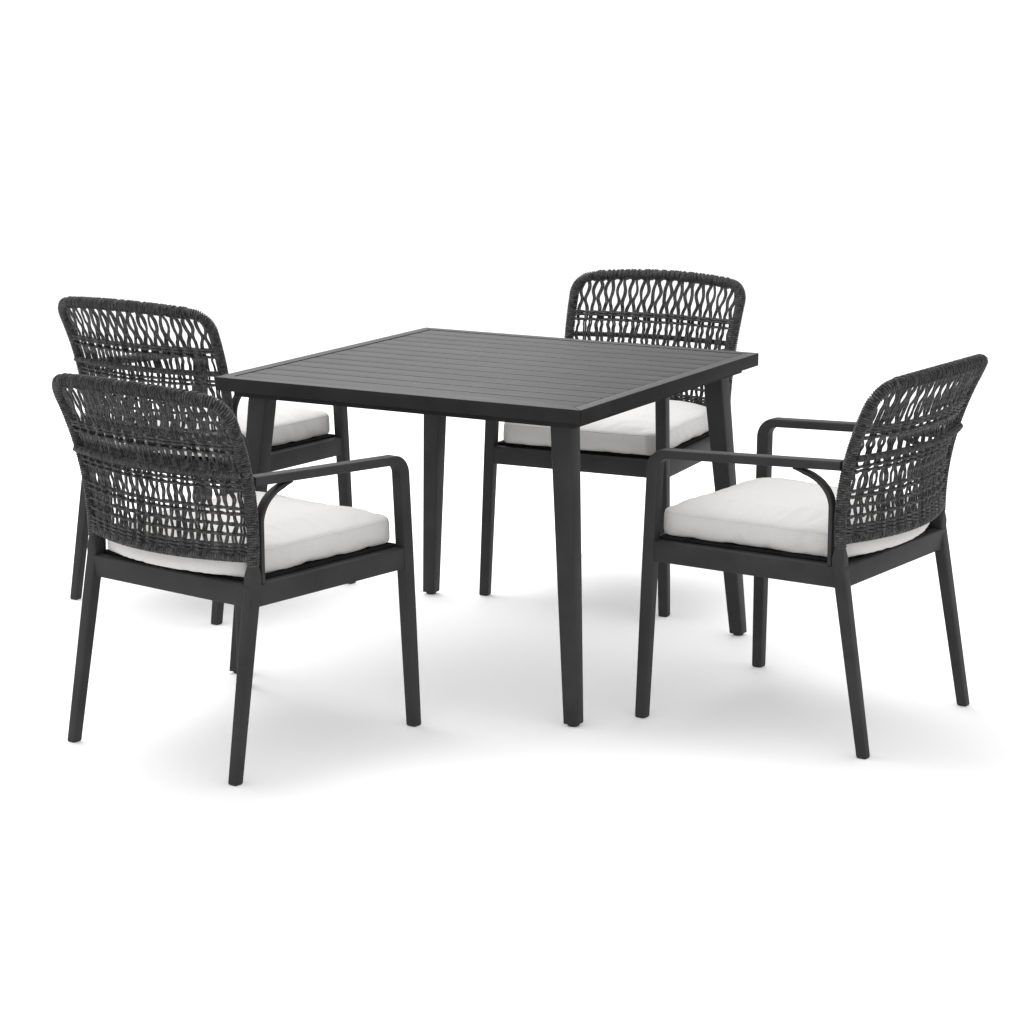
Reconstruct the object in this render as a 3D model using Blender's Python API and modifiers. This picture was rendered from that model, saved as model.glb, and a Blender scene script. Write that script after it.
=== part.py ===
"""Patio dining set: a square slatted table with four rope-backed armchairs and their seat cushions.

Every size is in metres, +Z is up, and the set stands on Z = 0 with its footprint centred on the origin.
A chair is drawn in its own frame: +X to the sitter's right, +Y the way the sitter faces.
"""

import math

import bmesh
import bpy
from mathutils import Matrix, Vector

JOIN_GAP = 0.0003

# Table
TABLE_SIDE = 1.000
TABLE_HEIGHT = 0.748
EDGE_WIDTH = 0.032 * TABLE_SIDE
EDGE_DEPTH = 0.033
SLAT_COUNT = 13
SLAT_GAP = 0.004
SLAT_END_GAP = 0.003
SLAT_THICKNESS = 0.012
SLAT_DROP = 0.001
APRON_THICKNESS = 0.0215
APRON_DEPTH = 0.0367
BATTEN_WIDTH = 0.030
BATTEN_DEPTH = 0.020
TABLE_LEG_TOP = 0.052 * TABLE_SIDE
TABLE_LEG_FOOT = 0.036 * TABLE_SIDE
TABLE_LEG_SPLAY = 0.051
GLIDE_RADIUS = 0.014
GLIDE_HEIGHT = 0.006

# Chair legs and arms
RAIL_TOP = 0.426
FRONT_FOOT_X = 0.272
FRONT_FOOT_Y = 0.288
FRONT_LEG_LEAN_X = 0.0338
FRONT_LEG_LEAN_Y = 0.026
FRONT_LEG_SECTION = 0.031
FRONT_FOOT_SECTION = 0.027
ARM_WIDTH = 0.034
ARM_THICKNESS = 0.021
ARM_FRONT_HEIGHT = 0.6315
ARM_REAR_RISE = 0.0487
ARM_CORNER_RADIUS = 0.038
ARM_REAR_X = 0.2475

# Chair back
REAR_FOOT_X = 0.254
POST_X = 0.2445
POST_FLARE = 0.0427
POST_Y = -0.207
REAR_LEG_LEAN = 0.178
REAR_LEG_SECTION = 0.029
REAR_FOOT_SECTION = 0.025
POST_FOOT_HEIGHT = RAIL_TOP + 0.004
RAKE_START = RAIL_TOP + 0.074
RAKE_CURVE = 0.83
BACK_TUBE = 0.025
BACK_HEIGHT = 0.8365
BACK_CROWN = 0.010
BACK_CORNER_RADIUS = 0.045
LOWER_RAIL_HEIGHT = RAIL_TOP + 0.059
LOWER_RAIL_RADIUS = 0.0095
LOWER_BOW = 0.058
BOW_LOSS = 0.065
MIDDLE_RAIL_HEIGHT = LOWER_RAIL_HEIGHT + 0.532 * (BACK_HEIGHT - LOWER_RAIL_HEIGHT)
MIDDLE_RAIL_RADIUS = 0.008
MIDDLE_RAIL_SETBACK = 0.015
ROPE_THICKNESS = 0.008
ROPE_CLEARANCE = 0.0025

# Chair seat
RAIL_DEPTH = 0.049
RAIL_THICKNESS = 0.036
RAIL_RECESS = 0.003
DECK_INSET = 0.0315
DECK_THICKNESS = 0.007
CUSHION_THICKNESS = 0.066
CUSHION_FRONT_Y = 0.277
CUSHION_FRONT_X = 0.234
CUSHION_REAR_X = 0.225
CUSHION_SIDE_END = -0.185
CUSHION_REAR_CLEARANCE = 0.022
CUSHION_CORNER_RADIUS = 0.026
CUSHION_EDGE_RADIUS = 0.014
BRACE_WIDTH = 0.022
BRACE_THICKNESS = 0.010
BRACE_TIP = 0.004
BRACE_START_Y = -0.090
BRACE_BEND_HEIGHT = RAIL_TOP + 0.628 * (ARM_FRONT_HEIGHT - RAIL_TOP)
BRACE_WRAP_ROOM = 0.0035

# Where each chair stands: its centre from the table's centre as shares of the table's side, and the turn
# that it faces, in degrees from +Y towards +X.
CHAIR_PLACES = {
    "front_chair": (-0.170, -0.887, 9.3),
    "right_chair": (0.896, -0.093, -83.4),
    "back_chair": (-0.072, 0.830, 177.2),
    "left_chair": (-1.030, 0.200, 4.5),
}

POWDER_COAT = ("powder_coat", (0.032, 0.032, 0.034), 0.48, 0.0)
SLAT_COAT = ("slat_coat", (0.040, 0.040, 0.042), 0.42, 0.0)
ROPE = ("rope", (0.045, 0.045, 0.047), 0.85, 0.0)
DECK_MESH = ("deck_mesh", (0.012, 0.012, 0.013), 0.90, 0.0)
CUSHION_CLOTH = ("cushion_cloth", (0.66, 0.64, 0.61), 0.92, 0.0)
GLIDE_PLASTIC = ("glide_plastic", (0.010, 0.010, 0.010), 0.55, 0.0)


def clear_scene():
    for obj in list(bpy.data.objects):
        bpy.data.objects.remove(obj, do_unlink=True)


def new_collection(name, is_helper=False):
    collection = bpy.data.collections.new(name)
    bpy.context.scene.collection.children.link(collection)
    collection.hide_render = is_helper
    return collection


def material(finish):
    name, colour, roughness, metallic = finish
    found = bpy.data.materials.get(name)
    if found:
        return found
    made = bpy.data.materials.new(name)
    made.use_nodes = True
    shader = made.node_tree.nodes["Principled BSDF"]
    shader.inputs["Base Color"].default_value = (*colour, 1.0)
    shader.inputs["Roughness"].default_value = roughness
    shader.inputs["Metallic"].default_value = metallic
    return made


def add_object(name, mesh, finish, parent=None):
    obj = bpy.data.objects.new(name, mesh)
    SET_PARTS.objects.link(obj)
    obj.data.materials.append(material(finish))
    obj.parent = parent
    return obj


def mesh_from(bm, name):
    bmesh.ops.recalc_face_normals(bm, faces=bm.faces)
    mesh = bpy.data.meshes.new(name)
    bm.to_mesh(mesh)
    bm.free()
    return mesh


def box_mesh(name, size, centre, edge=0.0):
    """A box with its edges rounded off by one flat of width edge."""
    bm = bmesh.new()
    bmesh.ops.create_cube(bm, size=1.0, matrix=Matrix.Translation(centre) @ Matrix.Diagonal((*size, 1.0)))
    if edge:
        bmesh.ops.bevel(bm, geom=bm.edges[:], offset=edge, segments=1, affect="EDGES")
    return mesh_from(bm, name)


def section(centre, across, through, width, depth, corner):
    """The eight corners of a rectangle with cut corners, round centre in the plane of two directions."""
    half_width = width / 2
    half_depth = depth / 2
    outline = (
        (half_width, half_depth - corner),
        (half_width - corner, half_depth),
        (corner - half_width, half_depth),
        (-half_width, half_depth - corner),
        (-half_width, corner - half_depth),
        (corner - half_width, -half_depth),
        (half_width - corner, -half_depth),
        (half_width, corner - half_depth),
    )
    return [centre + across * u + through * v for u, v in outline]


def loft(name, sections):
    """One closed body through sections that have the same number of corners."""
    bm = bmesh.new()
    rings = [[bm.verts.new(point) for point in corners] for corners in sections]
    count = len(rings[0])
    for low, high in zip(rings, rings[1:]):
        for index in range(count):
            after = (index + 1) % count
            bm.faces.new((low[index], low[after], high[after], high[index]))
    bm.faces.new(rings[0])
    bm.faces.new(rings[-1])
    return mesh_from(bm, name)


def tube_mesh(name, points, radius):
    """A round bar along points, as a mesh with its caps welded on."""
    curve = bpy.data.curves.new(name, "CURVE")
    curve.dimensions = "3D"
    curve.bevel_depth = radius
    curve.bevel_resolution = 2
    curve.use_fill_caps = True
    spline = curve.splines.new("POLY")
    spline.points.add(len(points) - 1)
    for point, place in zip(spline.points, points):
        point.co = (*place, 1.0)
    return mesh_of_curve(name, curve)


def plate_mesh(name, outlines, low, high):
    """A flat plate between two heights; a second outline is a hole."""
    curve = bpy.data.curves.new(name, "CURVE")
    curve.dimensions = "2D"
    curve.fill_mode = "BOTH"
    curve.extrude = (high - low) / 2
    for outline in outlines:
        spline = curve.splines.new("POLY")
        spline.points.add(len(outline) - 1)
        spline.use_cyclic_u = True
        for point, (x, y) in zip(spline.points, outline):
            point.co = (x, y, 0.0, 1.0)
    mesh = mesh_of_curve(name, curve)
    mesh.transform(Matrix.Translation((0.0, 0.0, (low + high) / 2)))
    return mesh


def mesh_of_curve(name, curve):
    helper = bpy.data.objects.new(name + "_curve", curve)
    CUTTERS.objects.link(helper)
    graph = bpy.context.evaluated_depsgraph_get()
    mesh = bpy.data.meshes.new_from_object(helper.evaluated_get(graph))
    bpy.data.objects.remove(helper, do_unlink=True)
    bm = bmesh.new()
    bm.from_mesh(mesh)
    bmesh.ops.remove_doubles(bm, verts=bm.verts, dist=0.00001)
    bmesh.ops.recalc_face_normals(bm, faces=bm.faces)
    bm.to_mesh(mesh)
    bm.free()
    mesh.name = name
    return mesh


def add_cutter(name, mesh, parent):
    obj = bpy.data.objects.new(name, mesh)
    CUTTERS.objects.link(obj)
    obj.parent = parent
    obj.hide_render = True
    obj.display_type = "WIRE"
    return obj


def combine(obj, other, operation):
    modifier = obj.modifiers.new(other.name, "BOOLEAN")
    modifier.operation = operation
    modifier.object = other
    modifier.solver = "EXACT"


def smooth(obj, angle=40.0):
    obj.data.shade_smooth()
    obj.data.set_sharp_from_angle(angle=math.radians(angle))


# Table


def slat_underside():
    return TABLE_HEIGHT - SLAT_DROP - SLAT_THICKNESS


def apron_outer():
    return TABLE_SIDE / 2 - EDGE_WIDTH - JOIN_GAP


def apron_bottom():
    return slat_underside() - JOIN_GAP - APRON_DEPTH


def square_outline(half):
    return [(half, half), (-half, half), (-half, -half), (half, -half)]


def add_ring(name, outer, width, low, high, edge, parent):
    """A welded square frame; its edges are eased by one flat."""
    mesh = plate_mesh(name, [square_outline(outer), square_outline(outer - width)], low, high)
    ring = add_object(name, mesh, POWDER_COAT, parent)
    easing = ring.modifiers.new("easing", "BEVEL")
    easing.width = edge
    easing.segments = 1
    easing.limit_method = "ANGLE"
    easing.angle_limit = math.radians(60.0)


def make_table(parent):
    half = TABLE_SIDE / 2
    edge_bottom = TABLE_HEIGHT - EDGE_DEPTH
    add_ring("table_frame", half, EDGE_WIDTH, edge_bottom, TABLE_HEIGHT, 0.0015, parent)

    apron_top = slat_underside() - JOIN_GAP
    add_ring("table_apron", apron_outer(), APRON_THICKNESS, apron_bottom(), apron_top, 0.001, parent)

    field = TABLE_SIDE - 2 * EDGE_WIDTH - 2 * SLAT_END_GAP
    width = (field - (SLAT_COUNT - 1) * SLAT_GAP) / SLAT_COUNT
    height = slat_underside() + SLAT_THICKNESS / 2
    for index in range(SLAT_COUNT):
        name = f"table_slat_{index + 1:02d}"
        mesh = box_mesh(name, (field, width, SLAT_THICKNESS), (0.0, 0.0, 0.0), 0.0012)
        slat = add_object(name, mesh, SLAT_COAT, parent)
        slat.location = (0.0, (index - (SLAT_COUNT - 1) / 2) * (width + SLAT_GAP), height)

    span = 2 * (apron_outer() - APRON_THICKNESS - JOIN_GAP)
    batten_height = apron_top - BATTEN_DEPTH / 2
    batten = box_mesh("table_batten", (BATTEN_WIDTH, span, BATTEN_DEPTH), (0.0, 0.0, 0.0), 0.001)
    add_object("table_batten", batten, POWDER_COAT, parent).location = (0.0, 0.0, batten_height)

    corners = {"front_left": (-1, -1), "front_right": (1, -1), "back_right": (1, 1), "back_left": (-1, 1)}
    for corner, (side_x, side_y) in corners.items():
        make_table_leg(corner, side_x, side_y, apron_top, parent)


def table_leg_centre(height):
    """How far a leg's middle stands from the table's middle, along X and along Y."""
    at_apron = apron_outer() - APRON_THICKNESS - 2 * JOIN_GAP - TABLE_LEG_TOP / 2
    return at_apron + TABLE_LEG_SPLAY * (apron_bottom() - height) / apron_bottom()


def make_table_leg(corner, side_x, side_y, top, parent):
    x_axis = Vector((1.0, 0.0, 0.0))
    y_axis = Vector((0.0, 1.0, 0.0))
    foot = GLIDE_HEIGHT + JOIN_GAP
    sections = []
    for height, width in ((foot, TABLE_LEG_FOOT), (apron_bottom(), TABLE_LEG_TOP), (top, TABLE_LEG_TOP)):
        out = table_leg_centre(height)
        centre = Vector((side_x * out, side_y * out, height))
        sections.append(section(centre, x_axis, y_axis, width, width, 0.003))
    name = f"table_leg_{corner}"
    add_object(name, loft(name, sections), POWDER_COAT, parent)

    bm = bmesh.new()
    bmesh.ops.create_cone(
        bm, cap_ends=True, segments=16, radius1=GLIDE_RADIUS, radius2=GLIDE_RADIUS, depth=GLIDE_HEIGHT
    )
    name = f"table_glide_{corner}"
    glide = add_object(name, mesh_from(bm, name), GLIDE_PLASTIC, parent)
    out = table_leg_centre(foot)
    glide.location = (side_x * out, side_y * out, GLIDE_HEIGHT / 2)
    smooth(glide)


# Chair


def front_leg(height):
    """The front leg's middle at a height, on the sitter's right."""
    return Vector((FRONT_FOOT_X - FRONT_LEG_LEAN_X * height, FRONT_FOOT_Y - FRONT_LEG_LEAN_Y * height, height))


def arm_height(y):
    return ARM_FRONT_HEIGHT + ARM_REAR_RISE * (arm_bend_y() - y)


def arm_bend_y():
    """Where the level arm ends and its rounded front corner starts."""
    return front_leg(ARM_FRONT_HEIGHT - ARM_CORNER_RADIUS).y - ARM_CORNER_RADIUS


def post_y(height):
    """The back tube's middle at its posts: a leg that leans, an upright stretch, and a curved rake."""
    below = max(POST_FOOT_HEIGHT - height, 0.0)
    above = max(height - RAKE_START, 0.0)
    return POST_Y - REAR_LEG_LEAN * below - RAKE_CURVE * above**2


def post_x(height):
    if height < POST_FOOT_HEIGHT:
        share = height / POST_FOOT_HEIGHT
        return REAR_FOOT_X + (POST_X - REAR_FOOT_X) * share
    return POST_X + POST_FLARE * (height - POST_FOOT_HEIGHT)


def back_point(x, height):
    """A point of the curved surface that the back tube and the rope lie in."""
    bow = LOWER_BOW - BOW_LOSS * (height - LOWER_RAIL_HEIGHT)
    return Vector((x, post_y(height) - bow * (1.0 - (x / post_x(height)) ** 2), height))


def arm_sections(grow=0.0):
    """The front leg and the arm, in one bent bar from the foot to the back post."""
    x_axis = Vector((1.0, 0.0, 0.0))
    y_axis = Vector((0.0, 1.0, 0.0))
    sections = []
    bend_low = ARM_FRONT_HEIGHT - ARM_CORNER_RADIUS
    for share in (0.0, 0.7, 1.0):
        height = share * bend_low
        size = FRONT_FOOT_SECTION + (FRONT_LEG_SECTION - FRONT_FOOT_SECTION) * min(share / 0.7, 1.0) + grow
        sections.append(section(front_leg(height), x_axis, y_axis, size, size, 0.004))
    steps = 5
    bend_x = front_leg(bend_low).x
    for step in range(1, steps + 1):
        turn = math.radians(90.0 * step / steps)
        out = Vector((0.0, math.cos(turn), math.sin(turn)))
        centre = Vector((bend_x, arm_bend_y(), bend_low)) + out * ARM_CORNER_RADIUS
        share = step / steps
        width = FRONT_LEG_SECTION + (ARM_WIDTH - FRONT_LEG_SECTION) * share + grow
        depth = FRONT_LEG_SECTION + (ARM_THICKNESS - FRONT_LEG_SECTION) * share + grow
        sections.append(section(centre, x_axis, out, width, depth, 0.004))
    end_y = arm_end_y()
    upward = Vector((0.0, 0.0, 1.0))
    for share in (0.5, 1.0):
        y = arm_bend_y() + (end_y - arm_bend_y()) * share
        centre = Vector((bend_x + (ARM_REAR_X - bend_x) * share, y, arm_height(y)))
        sections.append(section(centre, x_axis, upward, ARM_WIDTH + grow, ARM_THICKNESS + grow, 0.004))
    return sections


def arm_end_y():
    """The arm stops just short of the raked post."""
    meeting = ARM_FRONT_HEIGHT + ARM_REAR_RISE * (arm_bend_y() - POST_Y)
    slope = 2 * RAKE_CURVE * (meeting - RAKE_START)
    return post_y(meeting) + BACK_TUBE / 2 + slope * ARM_THICKNESS / 2 + 3 * JOIN_GAP


def hoop_half_path():
    """The back tube's middle from the right foot up to the middle of the top rail."""
    corner_low = BACK_HEIGHT - BACK_CORNER_RADIUS
    path = []
    for share in (0.0, 0.2, 0.4, 0.6, 0.8, 1.0):
        height = RAKE_START + (corner_low - RAKE_START) * share
        path.append(back_point(post_x(height), height))
    steps = 4
    straight = post_x(corner_low) - BACK_CORNER_RADIUS
    for step in range(1, steps + 1):
        turn = math.radians(90.0 * step / steps)
        x = straight + BACK_CORNER_RADIUS * math.cos(turn)
        height = corner_low + BACK_CORNER_RADIUS * math.sin(turn)
        path.append(back_point(x, height))
    for share in (0.75, 0.5, 0.25, 0.0):
        x = straight * share
        path.append(back_point(x, BACK_HEIGHT + BACK_CROWN * (1.0 - share**2)))
    return path


def mirrored(point):
    return Vector((-point.x, point.y, point.z))


def hoop_sections():
    """Square leaning legs that turn into a round tube, which runs up, over the top and down again."""
    x_axis = Vector((1.0, 0.0, 0.0))
    y_axis = Vector((0.0, 1.0, 0.0))
    round_corner = BACK_TUBE / 2 * (1.0 - math.tan(math.radians(22.5)))
    legs = []
    for height, size, corner in (
        (0.0, REAR_FOOT_SECTION, 0.003),
        (RAIL_TOP - RAIL_DEPTH, REAR_LEG_SECTION, 0.003),
        (POST_FOOT_HEIGHT, REAR_LEG_SECTION, 0.003),
        (POST_FOOT_HEIGHT + 0.02, BACK_TUBE, round_corner),
    ):
        legs.append((Vector((post_x(height), post_y(height), height)), size, corner))
    half = hoop_half_path()
    path = half + [mirrored(point) for point in reversed(half[:-1])]
    sections = [section(centre, x_axis, y_axis, size, size, corner) for centre, size, corner in legs]
    for index, centre in enumerate(path):
        before = path[max(index - 1, 0)]
        after = path[min(index + 1, len(path) - 1)]
        along = (after - before).normalized()
        through = (y_axis - along * along.y).normalized()
        across = through.cross(along)
        sections.append(section(centre, across, through, BACK_TUBE, BACK_TUBE, round_corner))
    for centre, size, corner in reversed(legs):
        sections.append(section(mirrored(centre), -x_axis, y_axis, size, size, corner))
    return sections


def rail_points(height, setback=0.0):
    count = 9
    half = post_x(height)
    points = []
    for index in range(count):
        x = half * (2 * index / (count - 1) - 1.0)
        points.append(back_point(x, height) - Vector((0.0, setback, 0.0)))
    return points


def rope_back_mesh(name):
    """The woven panel as one curved slab inside the back tube, above the lower rail."""
    columns = 10
    rows = 9
    edge_gap = BACK_TUBE / 2 + ROPE_CLEARANCE
    low = LOWER_RAIL_HEIGHT + LOWER_RAIL_RADIUS + ROPE_CLEARANCE
    corner_low = BACK_HEIGHT - BACK_CORNER_RADIUS
    inner_radius = BACK_CORNER_RADIUS - edge_gap
    bm = bmesh.new()
    bmesh.ops.create_grid(bm, x_segments=columns, y_segments=rows, size=1.0)
    for vert in bm.verts:
        share_x = vert.co.x
        share_z = (vert.co.y + 1.0) / 2
        height = low + (BACK_HEIGHT - edge_gap - low) * share_z
        half = post_x(height) - edge_gap
        if height > corner_low:
            rise = min(height - corner_low, inner_radius)
            half = post_x(corner_low) - BACK_CORNER_RADIUS + math.sqrt(inner_radius**2 - rise**2)
        lift = BACK_CROWN * (1.0 - share_x**2) * share_z**6
        vert.co = back_point(share_x * half, height + lift)
    return mesh_from(bm, name)


def seat_outline(inset):
    """The seat frame's four corners, moved in from its outer faces."""
    middle = RAIL_TOP - RAIL_DEPTH / 2
    leg = front_leg(middle)
    out = FRONT_LEG_SECTION / 2 - RAIL_RECESS
    front_x = leg.x + out - inset
    front_y = leg.y + out - inset
    rear_out = REAR_LEG_SECTION / 2 - RAIL_RECESS
    rear_x = post_x(middle) + rear_out - inset
    rear_y = post_y(middle) - rear_out + inset
    return [(front_x, front_y), (-front_x, front_y), (-rear_x, rear_y), (rear_x, rear_y)]


def rear_leg_cutter(name):
    x_axis = Vector((1.0, 0.0, 0.0))
    y_axis = Vector((0.0, 1.0, 0.0))
    sections = []
    for height in (RAIL_TOP - RAIL_DEPTH - 0.05, RAIL_TOP - RAIL_DEPTH, POST_FOOT_HEIGHT, POST_FOOT_HEIGHT + 0.05):
        size = REAR_LEG_SECTION + 2 * JOIN_GAP
        centre = Vector((post_x(height), post_y(height), height))
        sections.append(section(centre, x_axis, y_axis, size, size, 0.003))
    return loft(name, sections)


def mirrored_mesh(mesh, name):
    """The left-hand copy of a mesh drawn for the right."""
    bm = bmesh.new()
    bm.from_mesh(mesh)
    bmesh.ops.scale(bm, verts=bm.verts, vec=(-1.0, 1.0, 1.0))
    bmesh.ops.reverse_faces(bm, faces=bm.faces)
    return mesh_from(bm, name)


def rounded_corner(before, corner, after, radius, steps):
    """Points round one corner of a flat outline."""
    corner = Vector(corner)
    back = (Vector(before) - corner).normalized()
    on = (Vector(after) - corner).normalized()
    half_turn = back.angle(on) / 2
    reach = radius / math.tan(half_turn)
    centre = corner + (back + on).normalized() * (radius / math.sin(half_turn))
    start = corner + back * reach - centre
    sweep = start.angle_signed(corner + on * reach - centre)
    points = []
    for step in range(steps + 1):
        turned = start.copy()
        turned.rotate(Matrix.Rotation(-sweep * step / steps, 2))
        points.append(centre + turned)
    return points


def cushion_outline():
    """A seat outline with rounded corners and a rear edge that follows the bowed back."""
    front = [(CUSHION_FRONT_X, CUSHION_FRONT_Y), (-CUSHION_FRONT_X, CUSHION_FRONT_Y)]
    side_end = [(-CUSHION_REAR_X, CUSHION_SIDE_END), (CUSHION_REAR_X, CUSHION_SIDE_END)]
    outline = rounded_corner(side_end[1], front[0], front[1], CUSHION_CORNER_RADIUS, 3)
    outline += rounded_corner(front[0], front[1], side_end[0], CUSHION_CORNER_RADIUS, 3)
    count = 9
    for index in range(count):
        x = CUSHION_REAR_X * (2 * index / (count - 1) - 1.0)
        rear = back_point(x, LOWER_RAIL_HEIGHT).y + CUSHION_REAR_CLEARANCE
        outline.append((x, min(rear, CUSHION_SIDE_END)))
    return [tuple(point) for point in outline]


def brace_sections():
    """A flat bar that curves from under the arm and runs down the front of the post to the seat frame."""
    x_axis = Vector((1.0, 0.0, 0.0))
    underside = arm_height(BRACE_START_Y) - ARM_THICKNESS / 2 - JOIN_GAP
    reach_z = underside - BRACE_THICKNESS / 2 - BRACE_BEND_HEIGHT
    rear_y = POST_Y + BACK_TUBE / 2 + BRACE_WRAP_ROOM + BRACE_THICKNESS / 2
    reach_y = BRACE_START_Y - rear_y
    steps = 8
    tip = Vector((ARM_REAR_X, BRACE_START_Y, underside - BRACE_TIP / 2))
    sections = [section(tip, x_axis, Vector((0.0, 0.0, 1.0)), BRACE_WIDTH, BRACE_TIP, 0.001)]
    for step in range(1, steps + 1):
        turn = math.radians(90.0 * step / steps)
        y = BRACE_START_Y - reach_y * math.sin(turn)
        height = BRACE_BEND_HEIGHT + reach_z * math.cos(turn)
        out = Vector((0.0, -reach_z * math.sin(turn), reach_y * math.cos(turn))).normalized()
        centre = Vector((ARM_REAR_X, y, height))
        sections.append(section(centre, x_axis, out, BRACE_WIDTH, BRACE_THICKNESS, 0.001))
    foot = Vector((ARM_REAR_X, rear_y, RAIL_TOP + JOIN_GAP))
    sections.append(section(foot, x_axis, Vector((0.0, -1.0, 0.0)), BRACE_WIDTH, BRACE_THICKNESS, 0.001))
    return sections


def make_chair(chair, parent):
    for side in ("left", "right"):
        pieces = (
            (f"{chair}_{side}_arm", loft(f"{chair}_{side}_arm", arm_sections())),
            (f"{chair}_{side}_brace", loft(f"{chair}_{side}_brace", brace_sections())),
        )
        for name, mesh in pieces:
            if side == "left":
                mesh = mirrored_mesh(mesh, name)
            smooth(add_object(name, mesh, POWDER_COAT, parent))

    hoop = add_object(f"{chair}_back_frame", loft(f"{chair}_back_frame", hoop_sections()), POWDER_COAT, parent)
    rails = (
        ("lower_rail", rail_points(LOWER_RAIL_HEIGHT), LOWER_RAIL_RADIUS),
        ("middle_rail", rail_points(MIDDLE_RAIL_HEIGHT, MIDDLE_RAIL_SETBACK), MIDDLE_RAIL_RADIUS),
    )
    for rail, points, radius in rails:
        name = f"{chair}_{rail}"
        combine(hoop, add_cutter(name, tube_mesh(name, points, radius), parent), "UNION")
    smooth(hoop)

    rope = add_object(f"{chair}_rope_back", rope_back_mesh(f"{chair}_rope_back"), ROPE, parent)
    slab = rope.modifiers.new("slab", "SOLIDIFY")
    slab.thickness = ROPE_THICKNESS
    slab.offset = 0.0
    smooth(rope)

    rails_low = RAIL_TOP - RAIL_DEPTH
    outlines = (seat_outline(0.0), seat_outline(RAIL_THICKNESS))
    frame_mesh = plate_mesh(f"{chair}_seat_frame", outlines, rails_low, RAIL_TOP)
    frame = add_object(f"{chair}_seat_frame", frame_mesh, POWDER_COAT, parent)
    cutters = {
        "front_leg": loft(f"{chair}_front_leg", arm_sections(2 * JOIN_GAP)[:3]),
        "rear_leg": rear_leg_cutter(f"{chair}_rear_leg"),
    }
    for leg, mesh in cutters.items():
        combine(frame, add_cutter(f"{chair}_right_{leg}", mesh, parent), "DIFFERENCE")
        left = mirrored_mesh(mesh, f"{chair}_left_{leg}")
        combine(frame, add_cutter(f"{chair}_left_{leg}", left, parent), "DIFFERENCE")

    deck_low = RAIL_TOP + JOIN_GAP
    deck_top = deck_low + DECK_THICKNESS
    deck = plate_mesh(f"{chair}_seat_deck", [seat_outline(DECK_INSET)], deck_low, deck_top)
    add_object(f"{chair}_seat_deck", deck, DECK_MESH, parent)

    low = deck_top + JOIN_GAP
    cushion_mesh = plate_mesh(f"{chair}_cushion", [cushion_outline()], low, low + CUSHION_THICKNESS)
    cushion = add_object(f"{chair}_cushion", cushion_mesh, CUSHION_CLOTH, parent)
    rounding = cushion.modifiers.new("rounding", "BEVEL")
    rounding.width = CUSHION_EDGE_RADIUS
    rounding.segments = 2
    rounding.limit_method = "ANGLE"
    rounding.angle_limit = math.radians(60.0)
    smooth(cushion)


def world_bounds():
    bpy.context.view_layer.update()
    corners = []
    for obj in SET_PARTS.objects:
        if obj.type == "MESH":
            corners += [obj.matrix_world @ vert.co for vert in obj.data.vertices]
    low = [min(corner[axis] for corner in corners) for axis in range(3)]
    high = [max(corner[axis] for corner in corners) for axis in range(3)]
    return low, high


def make_set():
    middle = bpy.data.objects.new("set_middle", None)
    SET_PARTS.objects.link(middle)
    make_table(middle)
    for chair, (x, y, turn) in CHAIR_PLACES.items():
        place = bpy.data.objects.new(f"{chair}_place", None)
        SET_PARTS.objects.link(place)
        place.parent = middle
        place.location = (x * TABLE_SIDE, y * TABLE_SIDE, 0.0)
        place.rotation_euler = (0.0, 0.0, -math.radians(turn))
        make_chair(chair, place)
    low, high = world_bounds()
    middle.location = (-(low[0] + high[0]) / 2, -(low[1] + high[1]) / 2, 0.0)


clear_scene()
SET_PARTS = new_collection("patio_dining_set")
CUTTERS = new_collection("cutters", is_helper=True)
make_set()
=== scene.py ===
import math

import bmesh
import bpy
from mathutils import Matrix, Vector, noise
from mathutils.bvhtree import BVHTree


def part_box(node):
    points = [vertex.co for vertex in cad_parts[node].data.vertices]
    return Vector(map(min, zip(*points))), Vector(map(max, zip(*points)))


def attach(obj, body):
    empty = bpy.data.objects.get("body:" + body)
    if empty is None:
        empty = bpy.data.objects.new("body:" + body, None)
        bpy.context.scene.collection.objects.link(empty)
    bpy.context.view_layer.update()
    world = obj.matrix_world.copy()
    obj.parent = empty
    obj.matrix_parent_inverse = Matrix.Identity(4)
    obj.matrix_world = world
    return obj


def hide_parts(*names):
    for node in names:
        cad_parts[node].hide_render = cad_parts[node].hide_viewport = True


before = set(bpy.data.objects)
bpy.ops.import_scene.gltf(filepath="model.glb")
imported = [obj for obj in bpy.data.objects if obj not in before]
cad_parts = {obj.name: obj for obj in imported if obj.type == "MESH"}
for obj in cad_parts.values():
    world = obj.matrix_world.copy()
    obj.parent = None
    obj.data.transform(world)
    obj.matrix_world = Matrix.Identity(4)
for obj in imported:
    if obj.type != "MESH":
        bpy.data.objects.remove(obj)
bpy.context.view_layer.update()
scene = bpy.context.scene
xAxis = Vector((1.0, 0.0, 0.0))
yAxis = Vector((0.0, 1.0, 0.0))
zAxis = Vector((0.0, 0.0, 1.0))

# Every chair is drawn once, in its own frame: +X to the sitter's right, +Y the way the sitter faces.
# place is its middle from the table's middle, and turn the way it faces, in degrees from +Y towards +X.
chairs = {
    "front": {"place": (-0.170, -0.887), "turn": 9.3},
    "right": {"place": (0.896, -0.093), "turn": -83.4},
    "back": {"place": (-0.072, 0.830), "turn": 177.2},
    "left": {"place": (-1.030, 0.200), "turn": 4.5},
}
tableLow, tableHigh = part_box("table_frame")
tableMiddle = Vector(((tableLow.x + tableHigh.x) / 2, (tableLow.y + tableHigh.y) / 2, 0.0))
tableHalf = (tableHigh.x - tableLow.x) / 2


def chairMatrix(chair):
    x, y = chairs[chair]["place"]
    turn = Matrix.Rotation(-math.radians(chairs[chair]["turn"]), 4, "Z")
    return Matrix.Translation(tableMiddle + Vector((x, y, 0.0))) @ turn


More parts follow.
